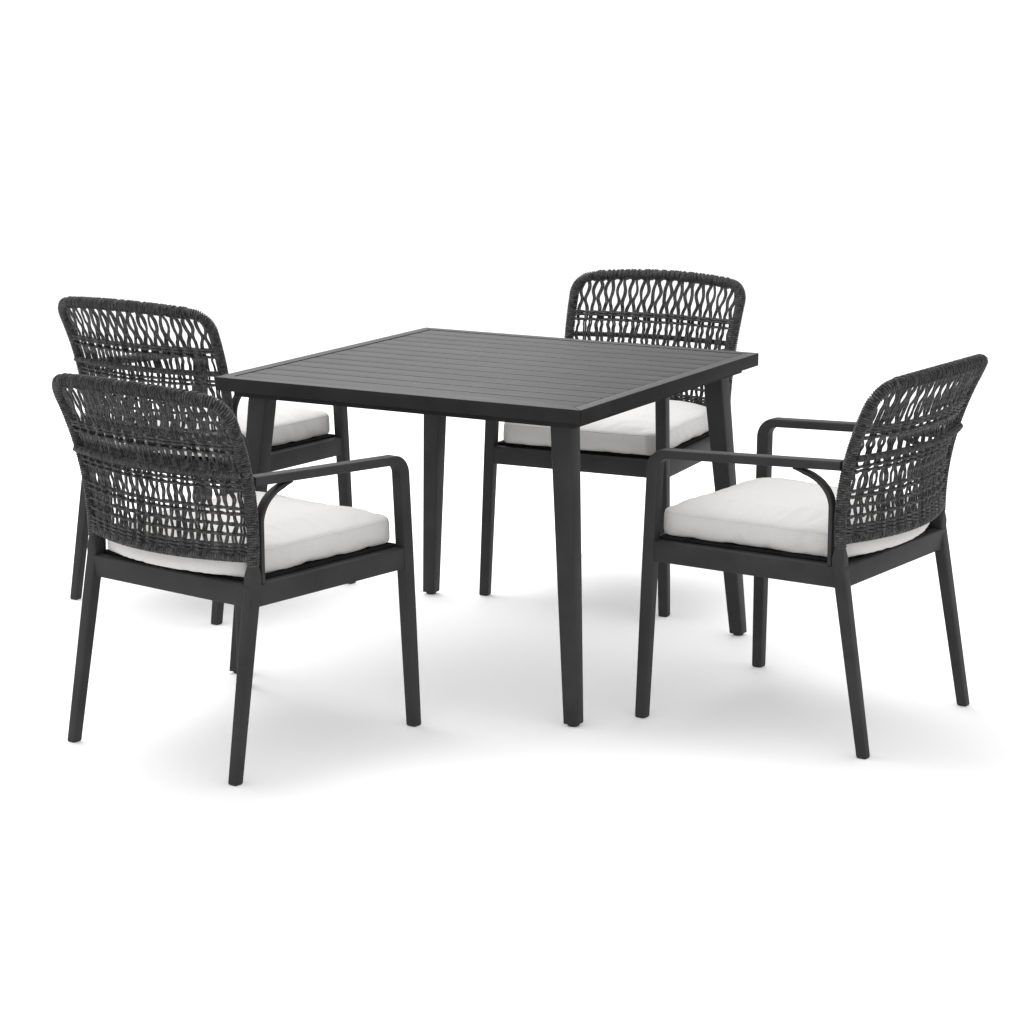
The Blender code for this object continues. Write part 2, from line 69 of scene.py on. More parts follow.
def meshFrom(bm, name):
    bmesh.ops.recalc_face_normals(bm, faces=bm.faces)
    mesh = bpy.data.meshes.new(name)
    bm.to_mesh(mesh)
    bm.free()
    return mesh


def loft(name, rings, closed=False):
    bm = bmesh.new()
    rows = [[bm.verts.new(point) for point in ring] for ring in rings]
    count = len(rows[0])
    pairs = list(zip(rows, rows[1:]))
    if closed:
        pairs.append((rows[-1], rows[0]))
    for low, high in pairs:
        for index in range(count):
            after = (index + 1) % count
            bm.faces.new((low[index], low[after], high[after], high[index]))
    if not closed:
        bm.faces.new(rows[0])
        bm.faces.new(rows[-1])
    return meshFrom(bm, name)


def joined(name, meshes):
    bm = bmesh.new()
    for mesh in meshes:
        bm.from_mesh(mesh)
    mesh = bpy.data.meshes.new(name)
    bm.to_mesh(mesh)
    bm.free()
    return mesh


def mirroredMesh(mesh):
    bm = bmesh.new()
    bm.from_mesh(mesh)
    bmesh.ops.scale(bm, verts=bm.verts, vec=(-1.0, 1.0, 1.0))
    return meshFrom(bm, mesh.name + "Mirrored")


def roundedOutline(width, depth, radius, steps=4):
    outline = []
    for sideX, sideY, start in ((1, 1, 0), (-1, 1, 90), (-1, -1, 180), (1, -1, 270)):
        for step in range(steps + 1):
            turn = math.radians(start + 90.0 * step / steps)
            x = sideX * (width / 2 - radius) + radius * math.cos(turn)
            y = sideY * (depth / 2 - radius) + radius * math.sin(turn)
            outline.append((x, y))
    return outline


def barRing(centre, across, through, width, depth, radius):
    return [centre + across * u + through * v for u, v in roundedOutline(width, depth, radius)]


def turnsOf(sides):
    return [2 * math.pi * side / sides for side in range(sides)]


def tubeRing(centre, along, radius, sides=16):
    through = (yAxis - along * along.y).normalized()
    across = through.cross(along)
    return [centre + across * (radius * math.cos(t)) + through * (radius * math.sin(t)) for t in turnsOf(sides)]


def directions(path):
    found = []
    for index in range(len(path)):
        before = path[max(index - 1, 0)]
        after = path[min(index + 1, len(path) - 1)]
        found.append((after - before).normalized())
    return found


def objectOf(name, mesh):
    obj = bpy.data.objects.new(name, mesh)
    scene.collection.objects.link(obj)
    return obj


def plainMesh(obj, name):
    graph = bpy.context.evaluated_depsgraph_get()
    mesh = bpy.data.meshes.new_from_object(obj.evaluated_get(graph), depsgraph=graph)
    mesh.name = name
    bpy.data.objects.remove(obj)
    return mesh


def smoothed(mesh, angle=38.0):
    mesh.shade_smooth()
    mesh.set_sharp_from_angle(angle=math.radians(angle))
    return mesh


def bevelled(mesh, width, segments=3):
    obj = objectOf("bevelled", mesh)
    bevel = obj.modifiers.new("bevel", "BEVEL")
    bevel.width = width
    bevel.segments = segments
    bevel.limit_method = "ANGLE"
    bevel.angle_limit = math.radians(30.0)
    return smoothed(plainMesh(obj, mesh.name))


def addPiece(name, mesh, material, body, replaced=()):
    obj = objectOf(name, mesh)
    if material:
        mesh.materials.clear()
        mesh.materials.append(material)
    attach(obj, body)
    if replaced:
        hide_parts(*replaced)
    return obj


def addToChairs(name, mesh, material, parts=()):
    for chair in chairs:
        copied = mesh.copy()
        copied.transform(chairMatrix(chair))
        replaced = [f"{chair}_chair_{part}" for part in parts]
        addPiece(f"{chair}{name}", copied, material, f"{chair}_chair", replaced)


# Node trees

def addNode(tree, kind, values=None, **settings):
    made = tree.nodes.new(kind)
    for key, value in settings.items():
        setattr(made, key, value)
    for key, value in (values or {}).items():
        if isinstance(value, bpy.types.NodeSocket):
            tree.links.new(value, made.inputs[key])
        else:
            made.inputs[key].default_value = value
    return made


def addMath(tree, operation, first, second=0.0, third=0.0):
    return addNode(tree, "ShaderNodeMath", {0: first, 1: second, 2: third}, operation=operation).outputs[0]


def addNoise(tree, place, scale, detail, roughness=0.5):
    values = {"Vector": place, "Scale": scale, "Detail": detail, "Roughness": roughness}
    return addNode(tree, "ShaderNodeTexNoise", values).outputs["Fac"]


def addLineNoise(tree, along, scale):
    values = {"W": along, "Scale": scale, "Detail": 1.0}
    return addNode(tree, "ShaderNodeTexNoise", values, noise_dimensions="1D").outputs["Fac"]


def feed(tree, inputs, values):
    for key, socket in values.items():
        tree.links.new(socket, inputs[key])


def newTree(name, kind, inputs, outputs):
    tree = bpy.data.node_groups.new(name, kind)
    for label, socket in outputs:
        tree.interface.new_socket(label, in_out="OUTPUT", socket_type=socket)
    for label, socket, value in inputs:
        made = tree.interface.new_socket(label, in_out="INPUT", socket_type=socket)
        if value is not None:
            made.default_value = value
    start = tree.nodes.new("NodeGroupInput").outputs
    end = tree.nodes.new("NodeGroupOutput").inputs
    return tree, start, end


number = "NodeSocketFloat"
whole = "NodeSocketInt"
triple = "NodeSocketVector"
geometry = "NodeSocketGeometry"
finish = "NodeSocketMaterial"
shadeAndHeight = [("Shade", number), ("Height", number)]


def coatGrainGroup():
    inputs = [("Vector", triple, None), ("Grain scale", number, 900.0), ("Mottle scale", number, 9.0),
              ("Roughness", number, 0.45), ("Roughness spread", number, 0.08)]
    outputs = shadeAndHeight + [("Roughness", number)]
    tree, start, end = newTree("coatGrain", "ShaderNodeTree", inputs, outputs)
    grain = addNoise(tree, start["Vector"], start["Grain scale"], 2.0)
    mottle = addNoise(tree, start["Vector"], start["Mottle scale"], 3.0, 0.55)
    shade = addMath(tree, "MULTIPLY_ADD", grain, 0.18, mottle)
    spread = addMath(tree, "SUBTRACT", mottle, 0.5)
    rough = addMath(tree, "MULTIPLY_ADD", spread, start["Roughness spread"], start["Roughness"])
    feed(tree, end, {"Shade": shade, "Height": grain, "Roughness": rough})
    return tree


def streakGroup():
    inputs = [("Vector", triple, None), ("Along scale", number, 2.0), ("Across scale", number, 160.0),
              ("Board pitch", number, 0.07)]
    tree, start, end = newTree("brushedStreaks", "ShaderNodeTree", inputs, shadeAndHeight)
    split = addNode(tree, "ShaderNodeSeparateXYZ", {"Vector": start["Vector"]}).outputs
    along = addMath(tree, "MULTIPLY", split["X"], start["Along scale"])
    across = addMath(tree, "MULTIPLY", split["Y"], start["Across scale"])
    stretched = addNode(tree, "ShaderNodeCombineXYZ", {"X": along, "Y": across}).outputs[0]
    streak = addNoise(tree, stretched, 1.0, 4.0, 0.6)
    board = addMath(tree, "FLOOR", addMath(tree, "DIVIDE", split["Y"], start["Board pitch"]))
    each = addNode(tree, "ShaderNodeTexWhiteNoise", {"W": board}, noise_dimensions="1D").outputs["Value"]
    feed(tree, end, {"Shade": addMath(tree, "MULTIPLY_ADD", each, 0.25, streak), "Height": streak})
    return tree


def yarnGroup():
    inputs = [("Ring", triple, None), ("Along", number, 0.0), ("Strands", number, 5.0),
              ("Twist length", number, 0.014), ("Vector", triple, None)]
    tree, start, end = newTree("yarnTwist", "ShaderNodeTree", inputs, shadeAndHeight)
    split = addNode(tree, "ShaderNodeSeparateXYZ", {"Vector": start["Ring"]}).outputs
    around = addMath(tree, "ARCTAN2", split["Y"], split["X"])
    turned = addMath(tree, "MULTIPLY", around, start["Strands"])
    turns = addMath(tree, "DIVIDE", start["Along"], start["Twist length"])
    travel = addMath(tree, "MULTIPLY", turns, 2 * math.pi)
    oneWay = addMath(tree, "SINE", addMath(tree, "ADD", turned, travel))
    otherWay = addMath(tree, "SINE", addMath(tree, "SUBTRACT", turned, travel))
    braid = addMath(tree, "MAXIMUM", oneWay, otherWay)
    fibres = addNoise(tree, start["Vector"], 700.0, 3.0, 0.6)
    wide = addNoise(tree, start["Vector"], 45.0, 2.0)
    # Painted highlights: a random brightness for each stretch of rope, which stands in for the glints that
    # change from turn to turn.
    turnHighlights = addLineNoise(tree, start["Along"], 60.0)
    shade = addMath(tree, "MULTIPLY_ADD", wide, 0.4, turnHighlights)
    shade = addMath(tree, "MULTIPLY_ADD", braid, 0.18, shade)
    shade = addMath(tree, "MULTIPLY_ADD", fibres, 0.35, shade)
    feed(tree, end, {"Shade": shade, "Height": addMath(tree, "MULTIPLY_ADD", fibres, 0.6, braid)})
    return tree


def weaveGroup():
    inputs = [("Vector", triple, None), ("Thread spacing", number, 0.0011), ("Unevenness", number, 0.35)]
    tree, start, end = newTree("plainWeave", "ShaderNodeTree", inputs, shadeAndHeight)
    uneven = addNoise(tree, start["Vector"], 120.0, 2.0)
    split = addNode(tree, "ShaderNodeSeparateXYZ", {"Vector": start["Vector"]}).outputs
    waves = []
    for axis in ("X", "Y"):
        count = addMath(tree, "DIVIDE", split[axis], start["Thread spacing"])
        count = addMath(tree, "MULTIPLY_ADD", uneven, start["Unevenness"], count)
        waves.append(addMath(tree, "SINE", addMath(tree, "MULTIPLY", count, math.pi)))
    threads = addMath(tree, "ABSOLUTE", addMath(tree, "MULTIPLY", waves[0], waves[1]))
    slub = addNoise(tree, start["Vector"], 340.0, 2.0, 0.6)
    feed(tree, end, {"Shade": addMath(tree, "MULTIPLY_ADD", threads, 0.4, slub),
                     "Height": addMath(tree, "MULTIPLY_ADD", slub, 0.5, threads)})
    return tree


def mottleGroup():
    inputs = [("Vector", triple, None), ("Scale", number, 7.0), ("Amount", number, 0.08)]
    outputs = [("Factor", number), ("Height", number)]
    tree, start, end = newTree("softMottle", "ShaderNodeTree", inputs, outputs)
    wide = addNoise(tree, start["Vector"], start["Scale"], 3.0)
    centred = addMath(tree, "SUBTRACT", wide, 0.5)
    feed(tree, end, {"Factor": addMath(tree, "MULTIPLY_ADD", centred, start["Amount"], 1.0), "Height": wide})
    return tree


groups = {"coat": coatGrainGroup(), "streak": streakGroup(), "yarn": yarnGroup(),
          "weave": weaveGroup(), "mottle": mottleGroup()}


def newMaterial(name, settings):
    material = bpy.data.materials.new(name)
    material.use_nodes = True
    tree = material.node_tree
    shader = tree.nodes["Principled BSDF"]
    for key, value in settings.items():
        shader.inputs[key].default_value = value
    return material, tree, shader


def useGroup(tree, group, values):
    return addNode(tree, "ShaderNodeGroup", values, node_tree=groups[group]).outputs


def shadeRamp(tree, factor, look, low=0.35, high=0.75):
    spread = addNode(tree, "ShaderNodeMapRange", {"Value": factor, "From Min": low, "From Max": high})
    mixed = addNode(tree, "ShaderNodeMix", {"Factor": spread.outputs["Result"]}, data_type="RGBA")
    colours = [socket for socket in mixed.inputs if socket.type == "RGBA"]
    colours[0].default_value = (*look["dark"], 1.0)
    colours[1].default_value = (*look["light"], 1.0)
    return [socket for socket in mixed.outputs if socket.type == "RGBA"][0]


def addBump(tree, shader, height, strength, distance, under=None):
    values = {"Height": height, "Strength": strength, "Distance": distance}
    if under:
        values["Normal"] = under
    normal = addNode(tree, "ShaderNodeBump", values).outputs["Normal"]
    tree.links.new(normal, shader.inputs["Normal"])
    return normal


frameCoat = {"dark": (0.030, 0.0302, 0.031), "light": (0.042, 0.0422, 0.043), "roughness": 0.50,
             "specular": 0.09, "grain": 900.0, "mottle": 9.0, "bump": (0.25, 0.00025)}
# A darker, less glossy copy of the frame's powder coat, for the table edge's side faces and for the apron and
# batten under the top: painted shade, since these are the same paint as the top and legs.
paintedShadeCoat = {"dark": (0.022, 0.0222, 0.023), "light": (0.030, 0.0302, 0.031), "roughness": 0.55,
            "specular": 0.02, "grain": 900.0, "mottle": 9.0, "bump": (0.25, 0.00025)}
glidePlastic = {"dark": (0.006, 0.006, 0.006), "light": (0.012, 0.012, 0.012), "roughness": 0.50,
                "specular": 0.40, "grain": 1500.0, "mottle": 60.0, "bump": (0.3, 0.0002)}


def coatMaterial(name, look):
    material, tree, shader = newMaterial(name, {"Specular IOR Level": look["specular"]})
    place = addNode(tree, "ShaderNodeTexCoord").outputs["Object"]
    coat = useGroup(tree, "coat", {"Vector": place, "Grain scale": look["grain"],
                                   "Mottle scale": look["mottle"], "Roughness": look["roughness"]})
    feed(tree, shader.inputs, {"Base Color": shadeRamp(tree, coat["Shade"], look),
                               "Roughness": coat["Roughness"]})
    addBump(tree, shader, coat["Height"], *look["bump"])
    return material


topCoat = {"dark": (0.016, 0.016, 0.0163), "light": (0.033, 0.033, 0.0335), "roughness": 0.40,
           "specular": 0.17, "streaks": 0.8, "bump": (0.2, 0.0002), "streakBump": (0.25, 0.0002)}


def topCoatMaterial(pitch):
    material, tree, shader = newMaterial("charcoalTopCoat", {"Specular IOR Level": topCoat["specular"]})
    place = addNode(tree, "ShaderNodeTexCoord").outputs["Object"]
    coat = useGroup(tree, "coat", {"Vector": place, "Roughness": topCoat["roughness"],
                                   "Roughness spread": 0.12})
    streak = useGroup(tree, "streak", {"Vector": place, "Board pitch": pitch})
    even = addMath(tree, "MULTIPLY", coat["Shade"], 1.0 - topCoat["streaks"])
    shade = addMath(tree, "MULTIPLY_ADD", streak["Shade"], topCoat["streaks"], even)
    feed(tree, shader.inputs, {"Base Color": shadeRamp(tree, shade, topCoat, 0.3, 0.9),
                               "Roughness": coat["Roughness"]})
    fine = addBump(tree, shader, coat["Height"], *topCoat["bump"])
    addBump(tree, shader, streak["Height"], *topCoat["streakBump"], fine)
    return material


# The wide spread from near black to light lets the yarn group's turn streaks paint highlights on the rope.
ropeYarn = {"dark": (0.003, 0.003, 0.0032), "light": (0.120, 0.120, 0.121), "strands": 4.0, "twist": 0.011,
            "roughness": 0.60, "specular": 0.24, "sheen": 0.06, "bump": (0.8, 0.0008)}


def ropeMaterial():
    material, tree, shader = newMaterial("charcoalRope", {
        "Roughness": ropeYarn["roughness"], "Specular IOR Level": ropeYarn["specular"],
        "Sheen Weight": ropeYarn["sheen"], "Sheen Roughness": 0.45})
    place = addNode(tree, "ShaderNodeTexCoord").outputs["Object"]
    ring = addNode(tree, "ShaderNodeAttribute", attribute_name="ropeRing")
    along = addNode(tree, "ShaderNodeAttribute", attribute_name="ropeAlong")
    yarn = useGroup(tree, "yarn", {"Ring": ring.outputs["Vector"], "Along": along.outputs["Fac"],
                                   "Strands": ropeYarn["strands"], "Twist length": ropeYarn["twist"],
                                   "Vector": place})
    feed(tree, shader.inputs, {"Base Color": shadeRamp(tree, yarn["Shade"], ropeYarn, 0.62, 1.38)})
    addBump(tree, shader, yarn["Height"], *ropeYarn["bump"])
    return material


cushionCloth = {"dark": (0.53, 0.518, 0.505), "light": (0.645, 0.632, 0.618), "thread": 0.0012,
                "roughness": 0.92, "specular": 0.22, "sheen": 0.15, "bump": (0.35, 0.0004),
                "creaseBump": (0.22, 0.004)}


def cushionMaterial():
    material, tree, shader = newMaterial("offWhiteCloth", {
        "Roughness": cushionCloth["roughness"], "Specular IOR Level": cushionCloth["specular"],
        "Sheen Weight": cushionCloth["sheen"], "Sheen Roughness": 0.5})
    place = addNode(tree, "ShaderNodeTexCoord").outputs
    threads = useGroup(tree, "weave", {"Vector": place["UV"], "Thread spacing": cushionCloth["thread"]})
    colour = shadeRamp(tree, threads["Shade"], cushionCloth, 0.3, 0.9)
    mottle = useGroup(tree, "mottle", {"Vector": place["Object"], "Scale": 9.0, "Amount": 0.07})
    scaled = addNode(tree, "ShaderNodeVectorMath", {0: colour, "Scale": mottle["Factor"]}, operation="SCALE")
    feed(tree, shader.inputs, {"Base Color": scaled.outputs["Vector"]})
    creases = useGroup(tree, "mottle", {"Vector": place["Object"], "Scale": 14.0, "Amount": 1.0})
    soft = addBump(tree, shader, creases["Height"], *cushionCloth["creaseBump"])
    addBump(tree, shader, threads["Height"], *cushionCloth["bump"], soft)
    return material


deckWeb = {"dark": (0.006, 0.006, 0.0065), "light": (0.022, 0.022, 0.023), "thread": 0.0035,
           "roughness": 0.95, "specular": 0.05, "bump": (0.8, 0.001)}


def deckMaterial():
    material, tree, shader = newMaterial("blackSlingMesh", {
        "Roughness": deckWeb["roughness"], "Specular IOR Level": deckWeb["specular"]})
    place = addNode(tree, "ShaderNodeTexCoord").outputs["UV"]
    threads = useGroup(tree, "weave", {"Vector": place, "Thread spacing": deckWeb["thread"], "Unevenness": 0.1})
    feed(tree, shader.inputs, {"Base Color": shadeRamp(tree, threads["Shade"], deckWeb)})
    addBump(tree, shader, threads["Height"], *deckWeb["bump"])
    return material


slatLow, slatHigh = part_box("table_slat_01")
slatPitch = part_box("table_slat_02")[0].y - slatLow.y
materials = {
    "coat": coatMaterial("charcoalPowderCoat", frameCoat), "edge": coatMaterial("charcoalPaintedShadeCoat", paintedShadeCoat),
    "plastic": coatMaterial("blackPlastic", glidePlastic), "top": topCoatMaterial(slatPitch),
    "rope": ropeMaterial(), "cloth": cushionMaterial(), "deck": deckMaterial(),
}
print("materials ready")

# Geometry trees: rope turns round a tube, rope along a path, and the row of slats

def endTree(tree, start, end, shape):
    real = addNode(tree, "GeometryNodeRealizeInstances", {"Geometry": shape})
    coated = addNode(tree, "GeometryNodeSetMaterial", {"Geometry": real.outputs["Geometry"],
                                                      "Material": start["Material"]})
    tree.links.new(coated.outputs["Geometry"], end["Geometry"])
    return tree


def markedRope(tree, shape, name, value, dataType):
    values = {"Geometry": shape, "Name": name, "Value": value}
    marked = addNode(tree, "GeometryNodeStoreNamedAttribute", values, data_type=dataType, domain="POINT")
    return marked.outputs["Geometry"]


def ropeTree(tree, start, end, curve):
    length = addNode(tree, "GeometryNodeSplineParameter").outputs["Length"]
    line = markedRope(tree, curve, "ropeAlong", length, "FLOAT")
    circle = addNode(tree, "GeometryNodeCurvePrimitiveCircle", {"Resolution": start["Sides"], "Radius": 1.0})
    position = addNode(tree, "GeometryNodeInputPosition").outputs[0]
    ring = markedRope(tree, circle.outputs["Curve"], "ropeRing", position, "FLOAT_VECTOR")
    size = addNode(tree, "ShaderNodeCombineXYZ", {axis: start["Rope radius"] for axis in ("X", "Y", "Z")})
    profile = addNode(tree, "GeometryNodeTransform", {"Geometry": ring, "Scale": size.outputs[0]})
    body = addNode(tree, "GeometryNodeCurveToMesh", {
        "Curve": line, "Profile Curve": profile.outputs["Geometry"], "Fill Caps": True})
    smooth = addNode(tree, "GeometryNodeSetShadeSmooth", {"Geometry": body.outputs["Mesh"]})
    return endTree(tree, start, end, smooth.outputs["Geometry"])


def wrapTree():
    inputs = [("Geometry", geometry, None), ("Turn spacing", number, 0.0044), ("Wrap radius", number, 0.0145),
              ("Rope radius", number, 0.0021), ("Points per turn", number, 10.0),
              ("Looseness", number, 0.0006), ("Sides", whole, 6), ("Material", finish, None)]
    tree, start, end = newTree("ropeRoundTube", "GeometryNodeTree", inputs, [("Geometry", geometry)])
    curve = addNode(tree, "GeometryNodeMeshToCurve", {"Mesh": start["Geometry"]}).outputs["Curve"]
    step = addMath(tree, "DIVIDE", start["Turn spacing"], start["Points per turn"])
    evened = addNode(tree, "GeometryNodeResampleCurve", {"Curve": curve, "Length": step}, mode="LENGTH")
    length = addNode(tree, "GeometryNodeSplineParameter").outputs["Length"]
    turns = addMath(tree, "DIVIDE", length, start["Turn spacing"])
    angle = addMath(tree, "MULTIPLY", turns, 2 * math.pi)
    slack = addMath(tree, "SUBTRACT", addLineNoise(tree, turns, 0.9), 0.4)
    reach = addMath(tree, "MULTIPLY_ADD", slack, start["Looseness"], start["Wrap radius"])
    normal = addNode(tree, "GeometryNodeInputNormal").outputs[0]
    tangent = addNode(tree, "GeometryNodeInputTangent").outputs[0]
    side = addNode(tree, "ShaderNodeVectorMath", {0: tangent, 1: normal}, operation="CROSS_PRODUCT").outputs[0]
    parts = []
    for direction, wave in ((normal, "COSINE"), (side, "SINE")):
        amount = addMath(tree, "MULTIPLY", addMath(tree, wave, angle), reach)
        part = addNode(tree, "ShaderNodeVectorMath", {0: direction, "Scale": amount}, operation="SCALE")
        parts.append(part.outputs[0])
    offset = addNode(tree, "ShaderNodeVectorMath", {0: parts[0], 1: parts[1]}, operation="ADD").outputs[0]
    wound = addNode(tree, "GeometryNodeSetPosition", {"Geometry": evened.outputs["Curve"], "Offset": offset})
    return ropeTree(tree, start, end, wound.outputs["Geometry"])


def strandTree():
    inputs = [("Geometry", geometry, None), ("Rope radius", number, 0.0027), ("Sides", whole, 6),
              ("Material", finish, None)]
    tree, start, end = newTree("ropeAlongPaths", "GeometryNodeTree", inputs, [("Geometry", geometry)])
    curve = addNode(tree, "GeometryNodeMeshToCurve", {"Mesh": start["Geometry"]}).outputs["Curve"]
    return ropeTree(tree, start, end, curve)


def slatTree():
    inputs = [("Geometry", geometry, None), ("Count", whole, 13), ("First", triple, None),
              ("Step", triple, None), ("Size", triple, None), ("Material", finish, None)]
    tree, start, end = newTree("slatRow", "GeometryNodeTree", inputs, [("Geometry", geometry)])
    line = addNode(tree, "GeometryNodeMeshLine", {"Count": start["Count"], "Start Location": start["First"],
                                                 "Offset": start["Step"]}, mode="OFFSET")
    slat = addNode(tree, "GeometryNodeMeshCube", {"Size": start["Size"]})
    placed = addNode(tree, "GeometryNodeInstanceOnPoints", {"Points": line.outputs["Mesh"],
                                                           "Instance": slat.outputs["Mesh"]})
    return endTree(tree, start, end, placed.outputs["Instances"])


def grown(name, tree, values, paths=(), closed=False):
    mesh = bpy.data.meshes.new(name)
    points, edges = [], []
    for path in paths:
        first = len(points)
        points += [tuple(point) for point in path]
        edges += [(first + index, first + index + 1) for index in range(len(path) - 1)]
        if closed:
            edges.append((len(points) - 1, first))
    mesh.from_pydata(points, edges, [])
    obj = objectOf(name, mesh)
    modifier = obj.modifiers.new("grow", "NODES")
    modifier.node_group = tree
    for item in tree.interface.items_tree:
        if item.item_type == "SOCKET" and item.in_out == "INPUT" and item.name in values:
            modifier[item.identifier] = values[item.name]
    return obj


trees = {"wrap": wrapTree(), "strand": strandTree(), "slats": slatTree()}

# Table

table = {"edgeGap": 0.0005, "edgeBevel": 0.0016, "slatBevel": 0.0014, "legTop": 0.052, "legFoot": 0.036,
         "legCorner": 0.0035, "legChamfer": 0.0012, "edgeWidth": 0.032, "count": 13,
         "glideSides": 28,
         # share of the glide's radius, and of its height
         "glideProfile": ((0.80, 0.0), (0.93, 0.12), (1.0, 0.40), (1.0, 0.75), (0.95, 0.95), (0.85, 1.05))}


def edgeBar(quarter):
    outer, inner = tableHalf, tableHalf - table["edgeWidth"]
    gap = table["edgeGap"]
    flat = [(-outer + gap, -outer), (outer - gap, -outer), (inner - gap, -inner), (-inner + gap, -inner)]
    turn = Matrix.Translation(tableMiddle) @ Matrix.Rotation(math.radians(90.0 * quarter), 4, "Z")
    rings = [[turn @ Vector((x, y, height)) for x, y in flat] for height in (tableLow.z, tableHigh.z)]
    return loft(f"edgeBar{quarter}", rings)


def buildTable():
    bars = bevelled(joined("tableEdge", [edgeBar(quarter) for quarter in range(4)]), table["edgeBevel"])
    bars.materials.append(materials["top"])
    bars.materials.append(materials["edge"])
    # Upward faces get the top coat; the other faces get the darker, less glossy copy, which paints shade on the
    # edge's sides.
    for face in bars.polygons:
        face.material_index = 0 if face.normal.z > 0.7 else 1
    addPiece("tableEdge", bars, None, "table", ["table_frame"])
    row = grown("tableSlats", trees["slats"], {
        "Count": table["count"], "First": (slatLow + slatHigh) / 2, "Step": Vector((0.0, slatPitch, 0.0)),
        "Size": slatHigh - slatLow, "Material": materials["top"]})
    bevel = row.modifiers.new("bevel", "BEVEL")
    bevel.width = table["slatBevel"]
    bevel.segments = 3
    slats = smoothed(plainMesh(row, "tableSlats"))
    nodes = [f"table_slat_{index:02d}" for index in range(1, table["count"] + 1)]
    addPiece("tableSlats", slats, None, "table", nodes)
    corners = ("front_left", "front_right", "back_right", "back_left")
    legs = smoothed(joined("tableLegs", [tableLeg(corner) for corner in corners]))
    addPiece("tableLegs", legs, materials["coat"], "table",
             [f"table_leg_{corner}" for corner in corners])
    glides = smoothed(joined("tableGlides", [tableGlide(corner) for corner in corners]), 30.0)
    addPiece("tableGlides", glides, materials["plastic"], "table",
             [f"table_glide_{corner}" for corner in corners])
    # The apron and batten under the top get the darker copy as well: painted shade under the table.
    for node in ("table_apron", "table_batten"):
        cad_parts[node].data.materials.clear()
        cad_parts[node].data.materials.append(materials["edge"])


def tableLeg(corner):
    low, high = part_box(f"table_leg_{corner}")
    sideX = -1 if corner.endswith("left") else 1
    sideY = -1 if corner.startswith("front") else 1
    foot = Vector((low.x if sideX < 0 else high.x, low.y if sideY < 0 else high.y, low.z))
    foot -= Vector((sideX, sideY, 0.0)) * table["legFoot"] / 2
    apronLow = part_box("table_apron")[0]
    top = Vector((high.x if sideX < 0 else low.x, high.y if sideY < 0 else low.y, high.z))
    top += Vector((sideX, sideY, 0.0)) * table["legTop"] / 2
    knee = Vector((top.x, top.y, apronLow.z))
    rings = []
    chamfer = table["legChamfer"]
    for rise, inset in ((0.0, chamfer), (chamfer, 0.0)):
        centre = foot.lerp(knee, rise / (knee.z - foot.z))
        width = table["legFoot"] - 2 * inset
        rings.append(barRing(centre, xAxis, yAxis, width, width, table["legCorner"]))
    for share in (0.25, 0.5, 0.75, 1.0):
        width = table["legFoot"] + (table["legTop"] - table["legFoot"]) * share
        rings.append(barRing(foot.lerp(knee, share), xAxis, yAxis, width, width, table["legCorner"]))
    rings.append(barRing(top, xAxis, yAxis, table["legTop"], table["legTop"], table["legCorner"]))
    return loft(f"leg{corner}", rings)


def tableGlide(corner):
    low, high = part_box(f"table_glide_{corner}")
    middle = (low + high) / 2
    outer = (high.x - low.x) / 2
    rings = []
    for reach, share in table["glideProfile"]:
        centre = Vector((middle.x, middle.y, low.z + (high.z - low.z) * share))
        rings.append([centre + Vector((math.cos(t), math.sin(t), 0.0)) * outer * reach
                      for t in turnsOf(table["glideSides"])])
    return loft(f"glide{corner}", rings)


buildTable()
print("table ready")

# Chair frame

armchair = {
    "frontFoot": (0.272, 0.288), "frontLean": (0.0338, 0.026), "footSize": 0.027, "legSize": 0.031,
    "armWidth": 0.034, "armThickness": 0.021, "armHeight": 0.6315, "armRise": 0.0487, "armBend": 0.038,
    "armRearX": 0.2475, "barCorner": 0.0045,
    "rearFootX": 0.254, "postX": 0.2445, "flare": 0.0427, "postY": -0.207, "rearLean": 0.178,
    "rearFoot": 0.025, "rearLeg": 0.029, "postFoot": 0.430, "rakeStart": 0.500, "rake": 0.83,
    "tube": 0.025, "backHeight": 0.8365, "crown": 0.010, "backCorner": 0.045,
    "lowerRail": 0.485, "lowerRadius": 0.0062, "bow": 0.058, "bowLoss": 0.065,
    "middleRail": 0.672, "middleRadius": 0.0042, "setback": 0.015,
    "hoopCore": 0.0102, "hoopStart": 0.470,
    # the rear leg is full size here, then turns from square to round
    "rearLegFull": 0.377, "postBlend": 0.445, "postBlendLength": 0.022, "postRound": 0.0118,
    "railTop": 0.426, "railDepth": 0.049, "railThickness": 0.036, "recess": 0.003,
    "deckInset": 0.0270, "deckThickness": 0.007, "gap": 0.0003,
}
brace = {"width": 0.022, "thickness": 0.010, "tip": 0.0035, "startY": -0.090, "bendHeight": 0.555,
         "wrapRoom": 0.0035, "corner": 0.0028, "steps": 22}


def frontLeg(height):
    footX, footY = armchair["frontFoot"]
    leanX, leanY = armchair["frontLean"]
    return Vector((footX - leanX * height, footY - leanY * height, height))


armBendY = frontLeg(armchair["armHeight"] - armchair["armBend"]).y - armchair["armBend"]


def armHeight(y):
    return armchair["armHeight"] + armchair["armRise"] * (armBendY - y)


def postY(height):
    below = max(armchair["postFoot"] - height, 0.0)
    above = max(height - armchair["rakeStart"], 0.0)
    return armchair["postY"] - armchair["rearLean"] * below - armchair["rake"] * above**2


def postX(height):
    if height < armchair["postFoot"]:
        lean = (armchair["postX"] - armchair["rearFootX"]) / armchair["postFoot"]
        return armchair["rearFootX"] + lean * height
    return armchair["postX"] + armchair["flare"] * (height - armchair["postFoot"])


def backPoint(x, height, depth=0.0):
    bow = armchair["bow"] - armchair["bowLoss"] * (height - armchair["lowerRail"])
    return Vector((x, postY(height) - bow * (1.0 - (x / postX(height)) ** 2) + depth, height))


def footRings(centreAt, across, through, size):
    rings = []
    for height, inset in ((0.0, 0.0035), (0.0008, 0.0016), (0.0025, 0.0005), (0.005, 0.0)):
        rings.append(barRing(centreAt(height), across, through, size - 2 * inset, size - 2 * inset,
                             armchair["barCorner"]))
    return rings


